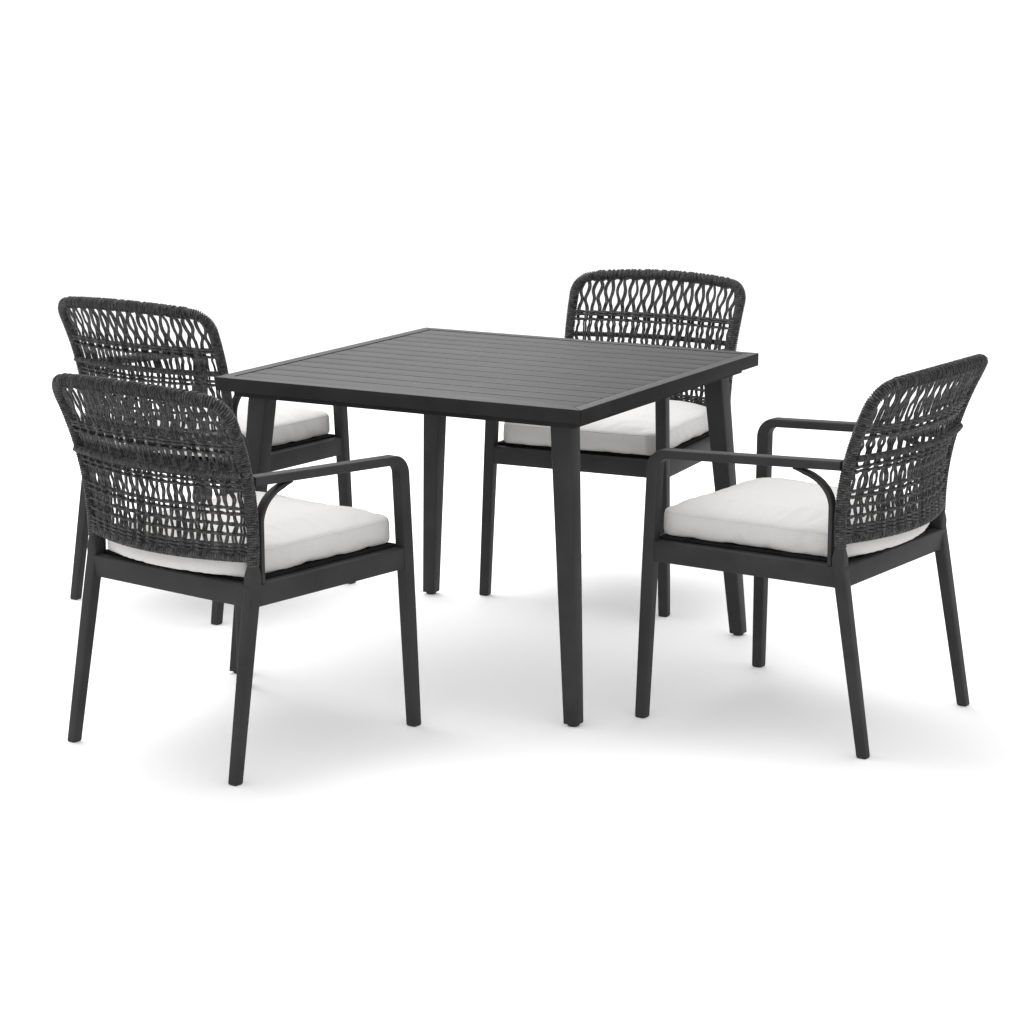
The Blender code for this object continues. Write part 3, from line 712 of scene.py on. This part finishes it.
def armMesh():
    rings = footRings(frontLeg, xAxis, yAxis, armchair["footSize"])
    bendLow = armchair["armHeight"] - armchair["armBend"]
    for step in range(1, 13):
        height = bendLow * step / 12
        size = armchair["footSize"] + (armchair["legSize"] - armchair["footSize"]) * min(step / 8.4, 1.0)
        rings.append(barRing(frontLeg(height), xAxis, yAxis, size, size, armchair["barCorner"]))
    corner = frontLeg(bendLow)
    steps = 18
    for step in range(1, steps + 1):
        turn = math.radians(90.0 * step / steps)
        out = Vector((0.0, math.cos(turn), math.sin(turn)))
        centre = Vector((corner.x, armBendY, bendLow)) + out * armchair["armBend"]
        share = step / steps
        width = armchair["legSize"] + (armchair["armWidth"] - armchair["legSize"]) * share
        depth = armchair["legSize"] + (armchair["armThickness"] - armchair["legSize"]) * share
        rings.append(barRing(centre, xAxis, out, width, depth, armchair["barCorner"]))
    meeting = armchair["armHeight"] + armchair["armRise"] * (armBendY - armchair["postY"])
    slope = 2 * armchair["rake"] * (meeting - armchair["rakeStart"])
    endY = postY(meeting) + armchair["tube"] / 2 + slope * armchair["armThickness"] / 2 + 0.0009
    for step in range(1, 9):
        y = armBendY + (endY - armBendY) * step / 8
        x = corner.x + (armchair["armRearX"] - corner.x) * step / 8
        centre = Vector((x, y, armHeight(y)))
        rings.append(barRing(centre, xAxis, zAxis, armchair["armWidth"], armchair["armThickness"],
                             armchair["barCorner"]))
    return loft("arm", rings)


def braceMesh():
    underside = armHeight(brace["startY"]) - armchair["armThickness"] / 2 - armchair["gap"]
    reachZ = underside - brace["thickness"] / 2 - brace["bendHeight"]
    rearY = armchair["postY"] + armchair["tube"] / 2 + brace["wrapRoom"] + brace["thickness"] / 2
    reachY = brace["startY"] - rearY
    rings = []
    for step in range(brace["steps"] + 1):
        turn = math.radians(90.0 * step / brace["steps"])
        grow = min(step / 4, 1.0)
        thickness = brace["tip"] + (brace["thickness"] - brace["tip"]) * grow
        y = brace["startY"] - reachY * math.sin(turn)
        height = brace["bendHeight"] + reachZ * math.cos(turn) + (brace["thickness"] - thickness) / 2
        out = Vector((0.0, -reachZ * math.sin(turn), reachY * math.cos(turn))).normalized()
        radius = min(brace["corner"], thickness * 0.35)
        centre = Vector((armchair["armRearX"], y, height))
        rings.append(barRing(centre, xAxis, out, brace["width"], thickness, radius))
    foot = Vector((armchair["armRearX"], rearY, armchair["railTop"] + armchair["gap"]))
    rings.append(barRing(foot, xAxis, -yAxis, brace["width"], brace["thickness"], brace["corner"]))
    return loft("brace", rings)


cornerLow = armchair["backHeight"] - armchair["backCorner"]
straight = postX(cornerLow) - armchair["backCorner"]        # half the straight run of the top rail


def crownHeight(x):
    return armchair["backHeight"] + armchair["crown"] * (1.0 - (x / straight) ** 2)


def hoopPath(fromHeight):
    path = []
    for step in range(21):
        height = fromHeight + (cornerLow - fromHeight) * step / 20
        path.append(backPoint(postX(height), height))
    for step in range(1, 13):
        turn = math.radians(90.0 * step / 12)
        x = straight + armchair["backCorner"] * math.cos(turn)
        path.append(backPoint(x, cornerLow + armchair["backCorner"] * math.sin(turn)))
    for step in range(11, -1, -1):
        x = straight * step / 12
        path.append(backPoint(x, crownHeight(x)))
    return path + [Vector((-point.x, point.y, point.z)) for point in reversed(path[:-1])]


def railPath(height, setback=0.0):
    half = postX(height)
    return [backPoint(half * (2 * index / 40 - 1.0), height, -setback) for index in range(41)]


def backTubeMeshes():
    def legCentre(height):
        return Vector((postX(height), postY(height), height))

    leg = footRings(legCentre, xAxis, yAxis, armchair["rearFoot"])
    full, blend = armchair["rearLegFull"], armchair["postBlend"]
    for height in (0.1, 0.2, 0.3, full, 0.400, armchair["postFoot"], blend):
        grow = min(height / full, 1.0)
        size = armchair["rearFoot"] + (armchair["rearLeg"] - armchair["rearFoot"]) * grow
        leg.append(barRing(legCentre(height), xAxis, yAxis, size, size, armchair["barCorner"]))
    for share in (0.33, 0.66, 1.0):
        height = blend + armchair["postBlendLength"] * share
        size = armchair["rearLeg"] + (armchair["tube"] - armchair["rearLeg"]) * share
        radius = armchair["barCorner"] + (armchair["postRound"] - armchair["barCorner"]) * share
        leg.append(barRing(legCentre(height), xAxis, yAxis, size, size, radius))
    leg.append(barRing(legCentre(armchair["rakeStart"]), xAxis, yAxis, armchair["tube"], armchair["tube"],
                       armchair["postRound"]))
    rightLeg = loft("rearLeg", leg)
    path = hoopPath(armchair["hoopStart"])
    hoop = loft("hoop", [tubeRing(point, along, armchair["hoopCore"])
                         for point, along in zip(path, directions(path))])
    rails = []
    for height, setback, radius in ((armchair["lowerRail"], 0.0, armchair["lowerRadius"]),
                                    (armchair["middleRail"], armchair["setback"], armchair["middleRadius"])):
        line = railPath(height, setback)
        rings = []
        for point, along in zip(line, directions(line)):
            across = along.cross(zAxis).normalized()
            rings.append([point + across * radius * math.cos(t) + zAxis * radius * math.sin(t)
                          for t in turnsOf(12)])
        rails.append(loft("rail", rings))
    return [rightLeg, mirroredMesh(rightLeg), hoop] + rails


def seatOutline(inset):
    middle = armchair["railTop"] - armchair["railDepth"] / 2
    leg = frontLeg(middle)
    out = armchair["legSize"] / 2 - armchair["recess"]
    rearOut = armchair["rearLeg"] / 2 - armchair["recess"]
    frontX, frontY = leg.x + out - inset, leg.y + out - inset
    rearX, rearY = postX(middle) + rearOut - inset, postY(middle) - rearOut + inset
    return [(frontX, frontY), (-frontX, frontY), (-rearX, rearY), (rearX, rearY)]


def seatFrameMesh():
    low, high = armchair["railTop"] - armchair["railDepth"], armchair["railTop"]
    outer, inner = seatOutline(0.0), seatOutline(armchair["railThickness"])
    rings = []
    for corner in range(4):
        across = [Vector((*outer[corner], low)), Vector((*outer[corner], high)),
                  Vector((*inner[corner], high)), Vector((*inner[corner], low))]
        rings.append(across)
    return bevelled(loft("seatFrame", rings, closed=True), 0.0035)


def deckMesh():
    low = armchair["railTop"] + armchair["gap"]
    outline = seatOutline(armchair["deckInset"])
    rings = [[Vector((x, y, height)) for x, y in outline] for height in (low, low + armchair["deckThickness"])]
    mesh = bevelled(loft("seatDeck", rings), 0.0015, 2)
    layer = mesh.uv_layers.new(name="deckUv")
    for loop in mesh.loops:
        point = mesh.vertices[loop.vertex_index].co
        layer.data[loop.index].uv = (point.x, point.y)
    return mesh


arm = armMesh()
arms = smoothed(joined("arms", [arm, mirroredMesh(arm)]))
addToChairs("ChairArms", arms, materials["coat"], ("left_arm", "right_arm"))
braceBar = braceMesh()
braces = smoothed(joined("braces", [braceBar, mirroredMesh(braceBar)]))
addToChairs("ChairBraces", braces, materials["coat"], ("left_brace", "right_brace"))
addToChairs("ChairBackTube", smoothed(joined("backTube", backTubeMeshes())), materials["coat"],
            ("back_frame",))
addToChairs("ChairSeatFrame", seatFrameMesh(), materials["coat"], ("seat_frame",))
addToChairs("ChairSeatDeck", deckMesh(), materials["deck"], ("seat_deck",))
print("chair frames ready")

# Rope: turns round every tube of the back, then the woven panel inside it.

wrap = {
    "spacing": 0.0056, "ropeRadius": 0.0024, "lift": 0.0021, "railSpacing": 0.0058, "railRopeRadius": 0.0027,
    "middleRopeRadius": 0.0021, "loopRadius": 0.0019, "startHeight": 0.469, "looseness": 0.0010,
    "loopsAt": 0.826, "loopDrift": 0.0045, "loopSlant": 0.012, "ropeGap": 0.0004,
}
weave = {
    "strands": 28, "radius": 0.0029, "twin": 0.0027, "sideRoom": 0.0135, "sway": 0.0033, "cross": 0.0016,
    "jitter": 0.0007, "drift": 0.0055, "rowDrift": 0.0100, "seed": 4.0, "steps": 88,
    # Height and phase: at 1 a strand leans on one neighbour, and at -1 on the other.
    "phases": ((0.860, -1), (0.828, 1), (0.798, -1), (0.768, 1), (0.737, -1), (0.717, -1), (0.702, 0.1),
               (0.688, -1), (0.662, -1), (0.655, -0.3), (0.648, -1), (0.637, -1), (0.613, 0.5), (0.592, -0.7),
               (0.578, -0.7), (0.557, 0.5), (0.535, -0.6), (0.512, 0.4), (0.480, -0.6)),
    "twines": (0.737, 0.730, 0.716, 0.649, 0.638, 0.593, 0.580, 0.557, 0.535, 0.512, 0.5035, 0.4955),
    "twineRadius": 0.0030, "twineLift": 0.0012, "twineDrift": 0.0016,
    # The strands run straight up to straightTo, then loosen, and tighten again below the top rail.
    "straightTo": 0.51, "loosenOver": 0.03, "tightenOver": 0.02, "pairTurn": 1.3,
    "topRoom": 0.008, "cornerRoom": 0.009, "measuredAt": 0.80,
}


def wrapped(name, path, radius, spacing, ropeRadius):
    values = {"Turn spacing": spacing, "Wrap radius": radius, "Rope radius": ropeRadius,
              "Looseness": wrap["looseness"], "Material": materials["rope"]}
    return plainMesh(grown(name, trees["wrap"], values, [path]), name)


def phaseAt(height):
    nodes = weave["phases"]
    for (high, upper), (low, lower) in zip(nodes, nodes[1:]):
        if height >= low:
            share = min(max((high - height) / (high - low), 0.0), 1.0)
            return upper + (lower - upper) * (0.5 - 0.5 * math.cos(math.pi * share))
    return nodes[-1][1]


def weaveX(index, height):
    half = postX(height) - weave["sideRoom"]
    return (2 * (index + 0.5) / weave["strands"] - 1.0) * half


def strandTop(x):
    if abs(x) <= straight:
        return crownHeight(x) - weave["topRoom"]
    reach = armchair["backCorner"] - weave["cornerRoom"]
    return cornerLow + math.sqrt(max(reach**2 - (abs(x) - straight) ** 2, 0.0))


def wander(across, up, channel):
    return noise.noise(Vector((across + weave["seed"], up, channel * 7.1)))


def strandPaths(index):
    top = strandTop(weaveX(index, weave["measuredAt"]))
    low = armchair["lowerRail"] + 0.004
    lean = 1 if index % 2 == 0 else -1
    jitter, twin = weave["jitter"], weave["twin"]
    pair = ([], [])
    for step in range(weave["steps"] + 1):
        height = low + (top - low) * step / weave["steps"]
        base = weaveX(index, height)
        loose = min(max(height - weave["straightTo"], 0.0) / weave["loosenOver"], 1.0)
        loose *= min((top - height) / weave["tightenOver"], 1.0)
        phase = phaseAt(height + weave["rowDrift"] * loose * wander(base * 13.0, height * 9.0, 3))
        x = base + lean * phase * weave["sway"]
        x += weave["drift"] * loose * wander(base * 12.0, height * 22.0, 0)
        x += jitter * wander(index * 1.37, height * 60.0, 1)
        depth = lean * weave["cross"] * abs(phase) + jitter * wander(index * 1.7, height * 50.0, 2)
        turn = weave["pairTurn"] * wander(index * 2.3, height * 16.0, 4)
        for side, path in zip((1, -1), pair):
            across = side * twin * math.cos(turn)
            path.append(backPoint(x + across, height, depth + side * twin * math.sin(turn)))
    return pair


def twinePaths(height):
    pair = []
    reach = weave["radius"] + weave["twineRadius"] + wrap["ropeGap"]
    for side in (1, -1):
        path = []
        for step in range(-2, weave["strands"] * 4 + 3):
            index = step / 4 - 0.5
            turn = math.pi * (index - 1.5) / 2
            lift = side * weave["twineLift"] * math.sin(turn)
            lift += weave["twineDrift"] * wander(index * 0.6, height * 90.0, 5)
            path.append(backPoint(weaveX(index, height), height + lift, side * reach * math.cos(turn)))
        pair.append(path)
    return pair


def topLoops():
    # the strand ends, tied over the turns along the top rail
    radius = armchair["hoopCore"] + wrap["lift"] + wrap["ropeRadius"] + wrap["ropeGap"]
    loops = []
    for index in range(weave["strands"]):
        for side in (1, -1):
            x = weaveX(index, wrap["loopsAt"]) + side * weave["twin"] * 1.1
            x += wrap["loopDrift"] * wander(index * 1.9, side, 6)
            if abs(x) > straight:
                continue
            middle = backPoint(x, crownHeight(x))
            slant = wrap["loopSlant"] * wander(index * 1.1, side * 2.0, 7)
            loops.append([middle + Vector((slant * math.sin(t), radius * math.cos(t), radius * math.sin(t)))
                          for t in turnsOf(18)])
    return loops


hoopWrap = wrapped("hoopWrap", hoopPath(wrap["startHeight"]), armchair["hoopCore"] + wrap["lift"],
                   wrap["spacing"], wrap["ropeRadius"])
lowerWrap = wrapped("lowerWrap", railPath(armchair["lowerRail"]), armchair["lowerRadius"] + 0.0026,
                    wrap["railSpacing"], wrap["railRopeRadius"])
middleWrap = wrapped("middleWrap", railPath(armchair["middleRail"], armchair["setback"]),
                     armchair["middleRadius"] + 0.0018, wrap["railSpacing"] * 0.8, wrap["middleRopeRadius"])


def ropesAlong(name, radius, paths, closed=False):
    values = {"Rope radius": radius, "Material": materials["rope"]}
    return plainMesh(grown(name, trees["strand"], values, paths, closed), name)


strands = ropesAlong("strands", weave["radius"],
                     [path for index in range(weave["strands"]) for path in strandPaths(index)])
twines = ropesAlong("twines", weave["twineRadius"],
                    [path for height in weave["twines"] for path in twinePaths(height)])
loops = ropesAlong("topLoops", wrap["loopRadius"], topLoops(), closed=True)
addToChairs("ChairRopeWrap", joined("ropeWrap", [hoopWrap, lowerWrap, middleWrap, loops]), materials["rope"])
addToChairs("ChairRopeWeave", joined("ropeWeave", [strands, twines]), materials["rope"], ("rope_back",))
print("rope ready")

# Cushion

cushion = {
    "frontY": 0.2735, "frontX": 0.2325, "rearX": 0.2215, "sideEnd": -0.184, "rearRoom": 0.025, "corner": 0.030,
    "bow": 0.003, "low": 0.4338, "seam": 0.4880, "voxel": 0.0055, "cap": 0.019, "sideCap": 0.006, "frames": 20,
    "piping": 0.0015, "pillow": 0.007, "pillowEdge": 0.014, "fill": 0.75,
    "heldFrom": 0.022, "seamWidth": 0.005,
    # the height and reach of a plain crown
    "crown": 0.014, "crownReach": 0.14,
    # the pull of the seam, the gathers at each corner, and how far one cushion differs from the next
    "pinch": 0.0017, "pinchReach": 0.010, "gather": 0.0020, "gatherReach": 0.055, "gathers": 11.0,
    "unlike": 0.0015,
}
cushionShell = {
    "quality": 6, "mass": 0.3, "tension_stiffness": 15.0, "compression_stiffness": 15.0, "shear_stiffness": 5.0,
    "bending_stiffness": 0.4, "use_pressure": True, "uniform_pressure_force": 4.0, "shrink_min": -0.015,
    "vertex_group_mass": "held",
}


def roundedCorner(before, corner, after, radius, steps):
    corner = Vector(corner)
    back = (Vector(before) - corner).normalized()
    on = (Vector(after) - corner).normalized()
    halfTurn = back.angle(on) / 2
    centre = corner + (back + on).normalized() * (radius / math.sin(halfTurn))
    start = corner + back * (radius / math.tan(halfTurn)) - centre
    sweep = start.angle_signed(corner + on * (radius / math.tan(halfTurn)) - centre)
    points = []
    for step in range(steps + 1):
        turned = start.copy()
        turned.rotate(Matrix.Rotation(-sweep * step / steps, 2))
        points.append(centre + turned)
    return points


def cushionOutline():
    frontX, frontY, rearX, sideEnd = cushion["frontX"], cushion["frontY"], cushion["rearX"], cushion["sideEnd"]
    front = [(frontX, frontY), (-frontX, frontY)]
    outline = roundedCorner((rearX, sideEnd), front[0], front[1], cushion["corner"], 8)
    outline += roundedCorner(front[0], front[1], (-rearX, sideEnd), cushion["corner"], 8)
    for index in range(33):
        x = rearX * (2 * index / 32 - 1.0)
        rear = backPoint(x, armchair["lowerRail"]).y + cushion["rearRoom"]
        outline.append(Vector((x, min(rear, sideEnd))))
    return outline


def evenOutline(outline, spacing=0.006):
    loop = outline + [outline[0]]
    points = []
    for first, second in zip(loop, loop[1:]):
        count = max(int((second - first).length / spacing), 1)
        points += [first.lerp(second, step / count) for step in range(count)]
    middle = (cushion["frontY"] + cushion["sideEnd"]) / 2
    length = (cushion["frontY"] - cushion["sideEnd"]) / 2
    for point in points:
        front = max(1.0 - (point.x / cushion["frontX"]) ** 2, 0.0) if point.y > middle else 0.0
        side = max(1.0 - ((point.y - middle) / length) ** 2, 0.0)
        point.y += cushion["bow"] * front
        point.x += math.copysign(cushion["bow"] * side, point.x)
    return points


def remeshed(outline):
    rings = [[Vector((point.x, point.y, height)) for point in outline]
             for height in (cushion["low"], cushion["seam"] + 0.002)]
    obj = objectOf("cushionCage", loft("cushionCage", rings))
    remesh = obj.modifiers.new("voxels", "REMESH")
    remesh.mode = "VOXEL"
    remesh.voxel_size = cushion["voxel"]
    return plainMesh(obj, "cushionCage")


def edgeDistance(point, outline):
    flat = Vector((point.x, point.y))
    return min((flat - spot).length for spot in outline)


def inflated(mesh, reaches):
    obj = objectOf("cushionSim", mesh)
    held = obj.vertex_groups.new(name="held")
    for vert, reach in zip(mesh.vertices, reaches):
        under = vert.co.z < cushion["low"] + 0.003 and reach > cushion["heldFrom"]
        seam = abs(vert.co.z - cushion["seam"]) < 0.006 and reach < cushion["seamWidth"]
        if under or seam:
            held.add([vert.index], 1.0, "REPLACE")
    before = [vert.co.copy() for vert in mesh.vertices]
    cloth = obj.modifiers.new("cloth", "CLOTH")
    for key, value in cushionShell.items():
        setattr(cloth.settings, key, value)
    cloth.settings.effector_weights.gravity = 0.0
    cloth.point_cache.frame_start = 1
    cloth.point_cache.frame_end = cushion["frames"]
    for moment in range(1, cushion["frames"] + 1):
        scene.frame_set(moment)
    swollen = plainMesh(obj, "cushionSwollen")
    scene.frame_set(1)
    for vert, rest in zip(swollen.vertices, before):
        move = vert.co - rest
        flat = Vector((move.x, move.y))
        if flat.length > cushion["sideCap"]:
            flat *= cushion["sideCap"] / flat.length
        rise = min(move.z, cushion["cap"])
        vert.co = rest + Vector((flat.x, flat.y, rise))
        vert.co.z = max(vert.co.z, cushion["low"])
    return swollen


def pillowRise(reach):
    return cushion["pillow"] * (1.0 - math.exp(-reach / cushion["pillowEdge"]))


def raised(mesh, reaches, riseAt):
    for vert, reach in zip(mesh.vertices, reaches):
        if vert.co.z > cushion["seam"] + 0.001:
            vert.co.z += riseAt(reach)
    return mesh


def refined(mesh):
    obj = objectOf("cushionFine", mesh)
    smooth = obj.modifiers.new("relax", "SMOOTH")
    smooth.iterations = 7
    smooth.factor = 0.5
    fine = obj.modifiers.new("fine", "SUBSURF")
    fine.levels = 1
    fine.render_levels = 1
    return plainMesh(obj, "cushionFine")


def surfaceOf(mesh):
    return BVHTree.FromPolygons([vert.co for vert in mesh.vertices],
                                [tuple(face.vertices) for face in mesh.polygons])


def seamPath(mesh, outline):
    surface = surfaceOf(mesh)
    path = []
    for index, point in enumerate(outline):
        before, after = outline[index - 1], outline[(index + 1) % len(outline)]
        along = (after - before).normalized()
        out = Vector((along.y, -along.x, 0.0))
        seam = Vector((point.x, point.y, cushion["seam"]))
        if out.dot(seam) < 0:
            out = -out
        hit = surface.ray_cast(seam + out * 0.05, -out)
        path.append(hit[0] or seam)
    return path


def pinched(mesh, path, corners):
    cell = 0.02
    cells = {}
    for spot in path:
        cells.setdefault((round(spot.x / cell), round(spot.y / cell)), []).append(spot)
    for vert in mesh.vertices:
        if abs(vert.co.z - cushion["seam"]) > 0.012:
            continue
        column, row = round(vert.co.x / cell), round(vert.co.y / cell)
        near = [spot for stepX in (-1, 0, 1) for stepY in (-1, 0, 1)
                for spot in cells.get((column + stepX, row + stepY), [])]
        if not near:
            continue
        distance = min((vert.co - spot).length for spot in near)
        if distance < cushion["pinchReach"]:
            pull = cushion["pinch"] * (1.0 - distance / cushion["pinchReach"]) ** 2
            vert.co += Vector((-vert.co.x, 0.03 - vert.co.y, 0.0)).normalized() * pull
    for corner in corners:
        for vert in mesh.vertices:
            flat = Vector((vert.co.x, vert.co.y))
            distance = (flat - corner).length
            if distance < cushion["gatherReach"] and vert.co.z > cushion["low"] + 0.004:
                fade = (1.0 - distance / cushion["gatherReach"]) ** 2
                angle = math.atan2(flat.y - corner.y * 0.8, flat.x - corner.x * 0.8)
                ripple = cushion["gather"] * fade * math.sin(angle * cushion["gathers"])
                vert.co += Vector((flat.x, flat.y, 0.0)).normalized() * ripple
    return mesh


def rearSeams(mesh):
    surface = surfaceOf(mesh)
    low = cushion["low"] + 0.008
    seams = []
    for side in (1, -1):
        path = []
        for step in range(12):
            height = low + (cushion["seam"] - low) * step / 11
            origin = Vector((side * 0.30, cushion["sideEnd"] + 0.012, height))
            hit = surface.ray_cast(origin, -side * xAxis)
            if hit[0]:
                path.append(hit[0] - side * xAxis * 0.0005)
        seams.append(path)
    return seams


def clothUv(mesh):
    layer = mesh.uv_layers.new(name="clothUv")
    for face in mesh.polygons:
        normal = face.normal
        for index in face.loop_indices:
            point = mesh.vertices[mesh.loops[index].vertex_index].co
            if abs(normal.z) > 0.6:
                layer.data[index].uv = (point.x, point.y)
            elif abs(normal.x) > abs(normal.y):
                layer.data[index].uv = (point.y, point.z)
            else:
                layer.data[index].uv = (point.x, point.z)


def buildCushions():
    outline = evenOutline(cushionOutline())
    mesh = remeshed(outline)
    reaches = [edgeDistance(vert.co, outline) for vert in mesh.vertices]
    mesh = inflated(mesh, reaches)
    mesh = refined(raised(mesh, reaches, pillowRise))
    path = seamPath(mesh, outline)
    frontX, frontY, rearX, sideEnd = cushion["frontX"], cushion["frontY"], cushion["rearX"], cushion["sideEnd"]
    corners = [Vector((side * x, y)) for x, y in ((frontX, frontY), (rearX, sideEnd)) for side in (1, -1)]
    mesh = pinched(mesh, path, corners)
    path = seamPath(mesh, outline)
    values = {"Rope radius": cushion["piping"], "Material": materials["cloth"]}
    topEdge = plainMesh(grown("topEdge", trees["strand"], values, [path], closed=True), "topEdge")
    uprights = plainMesh(grown("uprights", trees["strand"], values, rearSeams(mesh)), "uprights")
    piping = joined("piping", [topEdge, uprights])
    clothUv(mesh)
    clothUv(piping)
    mesh.shade_smooth()
    print("cushion shape", len(mesh.polygons), "faces, crown at", max(vert.co.z for vert in mesh.vertices))
    for chair in chairs:
        body = f"{chair}_cushion"
        seat = mesh.copy()
        shift = ord(chair[0]) * 0.13
        for vert in seat.vertices:
            if vert.co.z > cushion["seam"] + 0.004:
                rise = cushion["unlike"] * (vert.co.z - cushion["seam"]) / 0.02
                vert.co.z += rise * noise.noise(Vector((vert.co.x * 9.0, vert.co.y * 9.0, shift)))
        edge = piping.copy()
        for made in (seat, edge):
            made.transform(chairMatrix(chair))
        pad = addPiece(f"{chair}Cushion", seat, materials["cloth"], body,
                       [f"{chair}_chair_cushion"])
        addPiece(f"{chair}CushionPiping", edge, materials["cloth"], body)


buildCushions()
print("cushions ready")

# Floor, lights and camera

stage = {"floorSize": 3000.0, "floorColour": (0.86, 0.86, 0.86), "floorGlow": 0.20, "world": 1.0,
         "key": 230.0, "keySize": 4.5, "keyPlace": (-1.8, 1.2, 4.2), "keyAim": (0.0, 0.0, 0.4)}
view = {"place": (3.069, -5.481, 1.709), "yaw": -28.86, "down": 12.03, "lens": 89.08}


def buildStage():
    bm = bmesh.new()
    bmesh.ops.create_grid(bm, x_segments=1, y_segments=1, size=stage["floorSize"] / 2)
    floor = objectOf("floor", meshFrom(bm, "floor"))
    material, tree, shader = newMaterial("paleFloor", {"Roughness": 0.9, "Specular IOR Level": 0.1})
    shader.inputs["Base Color"].default_value = (*stage["floorColour"], 1.0)
    shader.inputs["Emission Color"].default_value = (1.0, 1.0, 1.0, 1.0)
    shader.inputs["Emission Strength"].default_value = stage["floorGlow"]
    floor.data.materials.append(material)
    world = bpy.data.worlds.new("studio")
    world.use_nodes = True
    sky = world.node_tree.nodes["Background"].inputs
    sky["Color"].default_value = (1.0, 1.0, 1.0, 1.0)
    sky["Strength"].default_value = stage["world"]
    scene.world = world
    light = bpy.data.lights.new("key", "AREA")
    light.energy = stage["key"]
    light.size = stage["keySize"]
    lamp = bpy.data.objects.new("key", light)
    lamp.location = tableMiddle + Vector(stage["keyPlace"])
    aim = tableMiddle + Vector(stage["keyAim"]) - lamp.location
    lamp.rotation_euler = aim.to_track_quat("-Z", "Y").to_euler()
    scene.collection.objects.link(lamp)


def buildCamera():
    data = bpy.data.cameras.new("camera")
    data.lens = view["lens"]
    data.sensor_width = 36.0
    data.clip_end = 5000.0
    camera = bpy.data.objects.new("camera", data)
    yaw, down = math.radians(view["yaw"]), math.radians(view["down"])
    look = Vector((math.sin(yaw) * math.cos(down), math.cos(yaw) * math.cos(down), -math.sin(down)))
    camera.location = tableMiddle + Vector(view["place"])
    camera.rotation_euler = look.to_track_quat("-Z", "Y").to_euler()
    scene.collection.objects.link(camera)
    scene.camera = camera


buildStage()
buildCamera()
scene.view_settings.view_transform = "Standard"
print("stage ready")
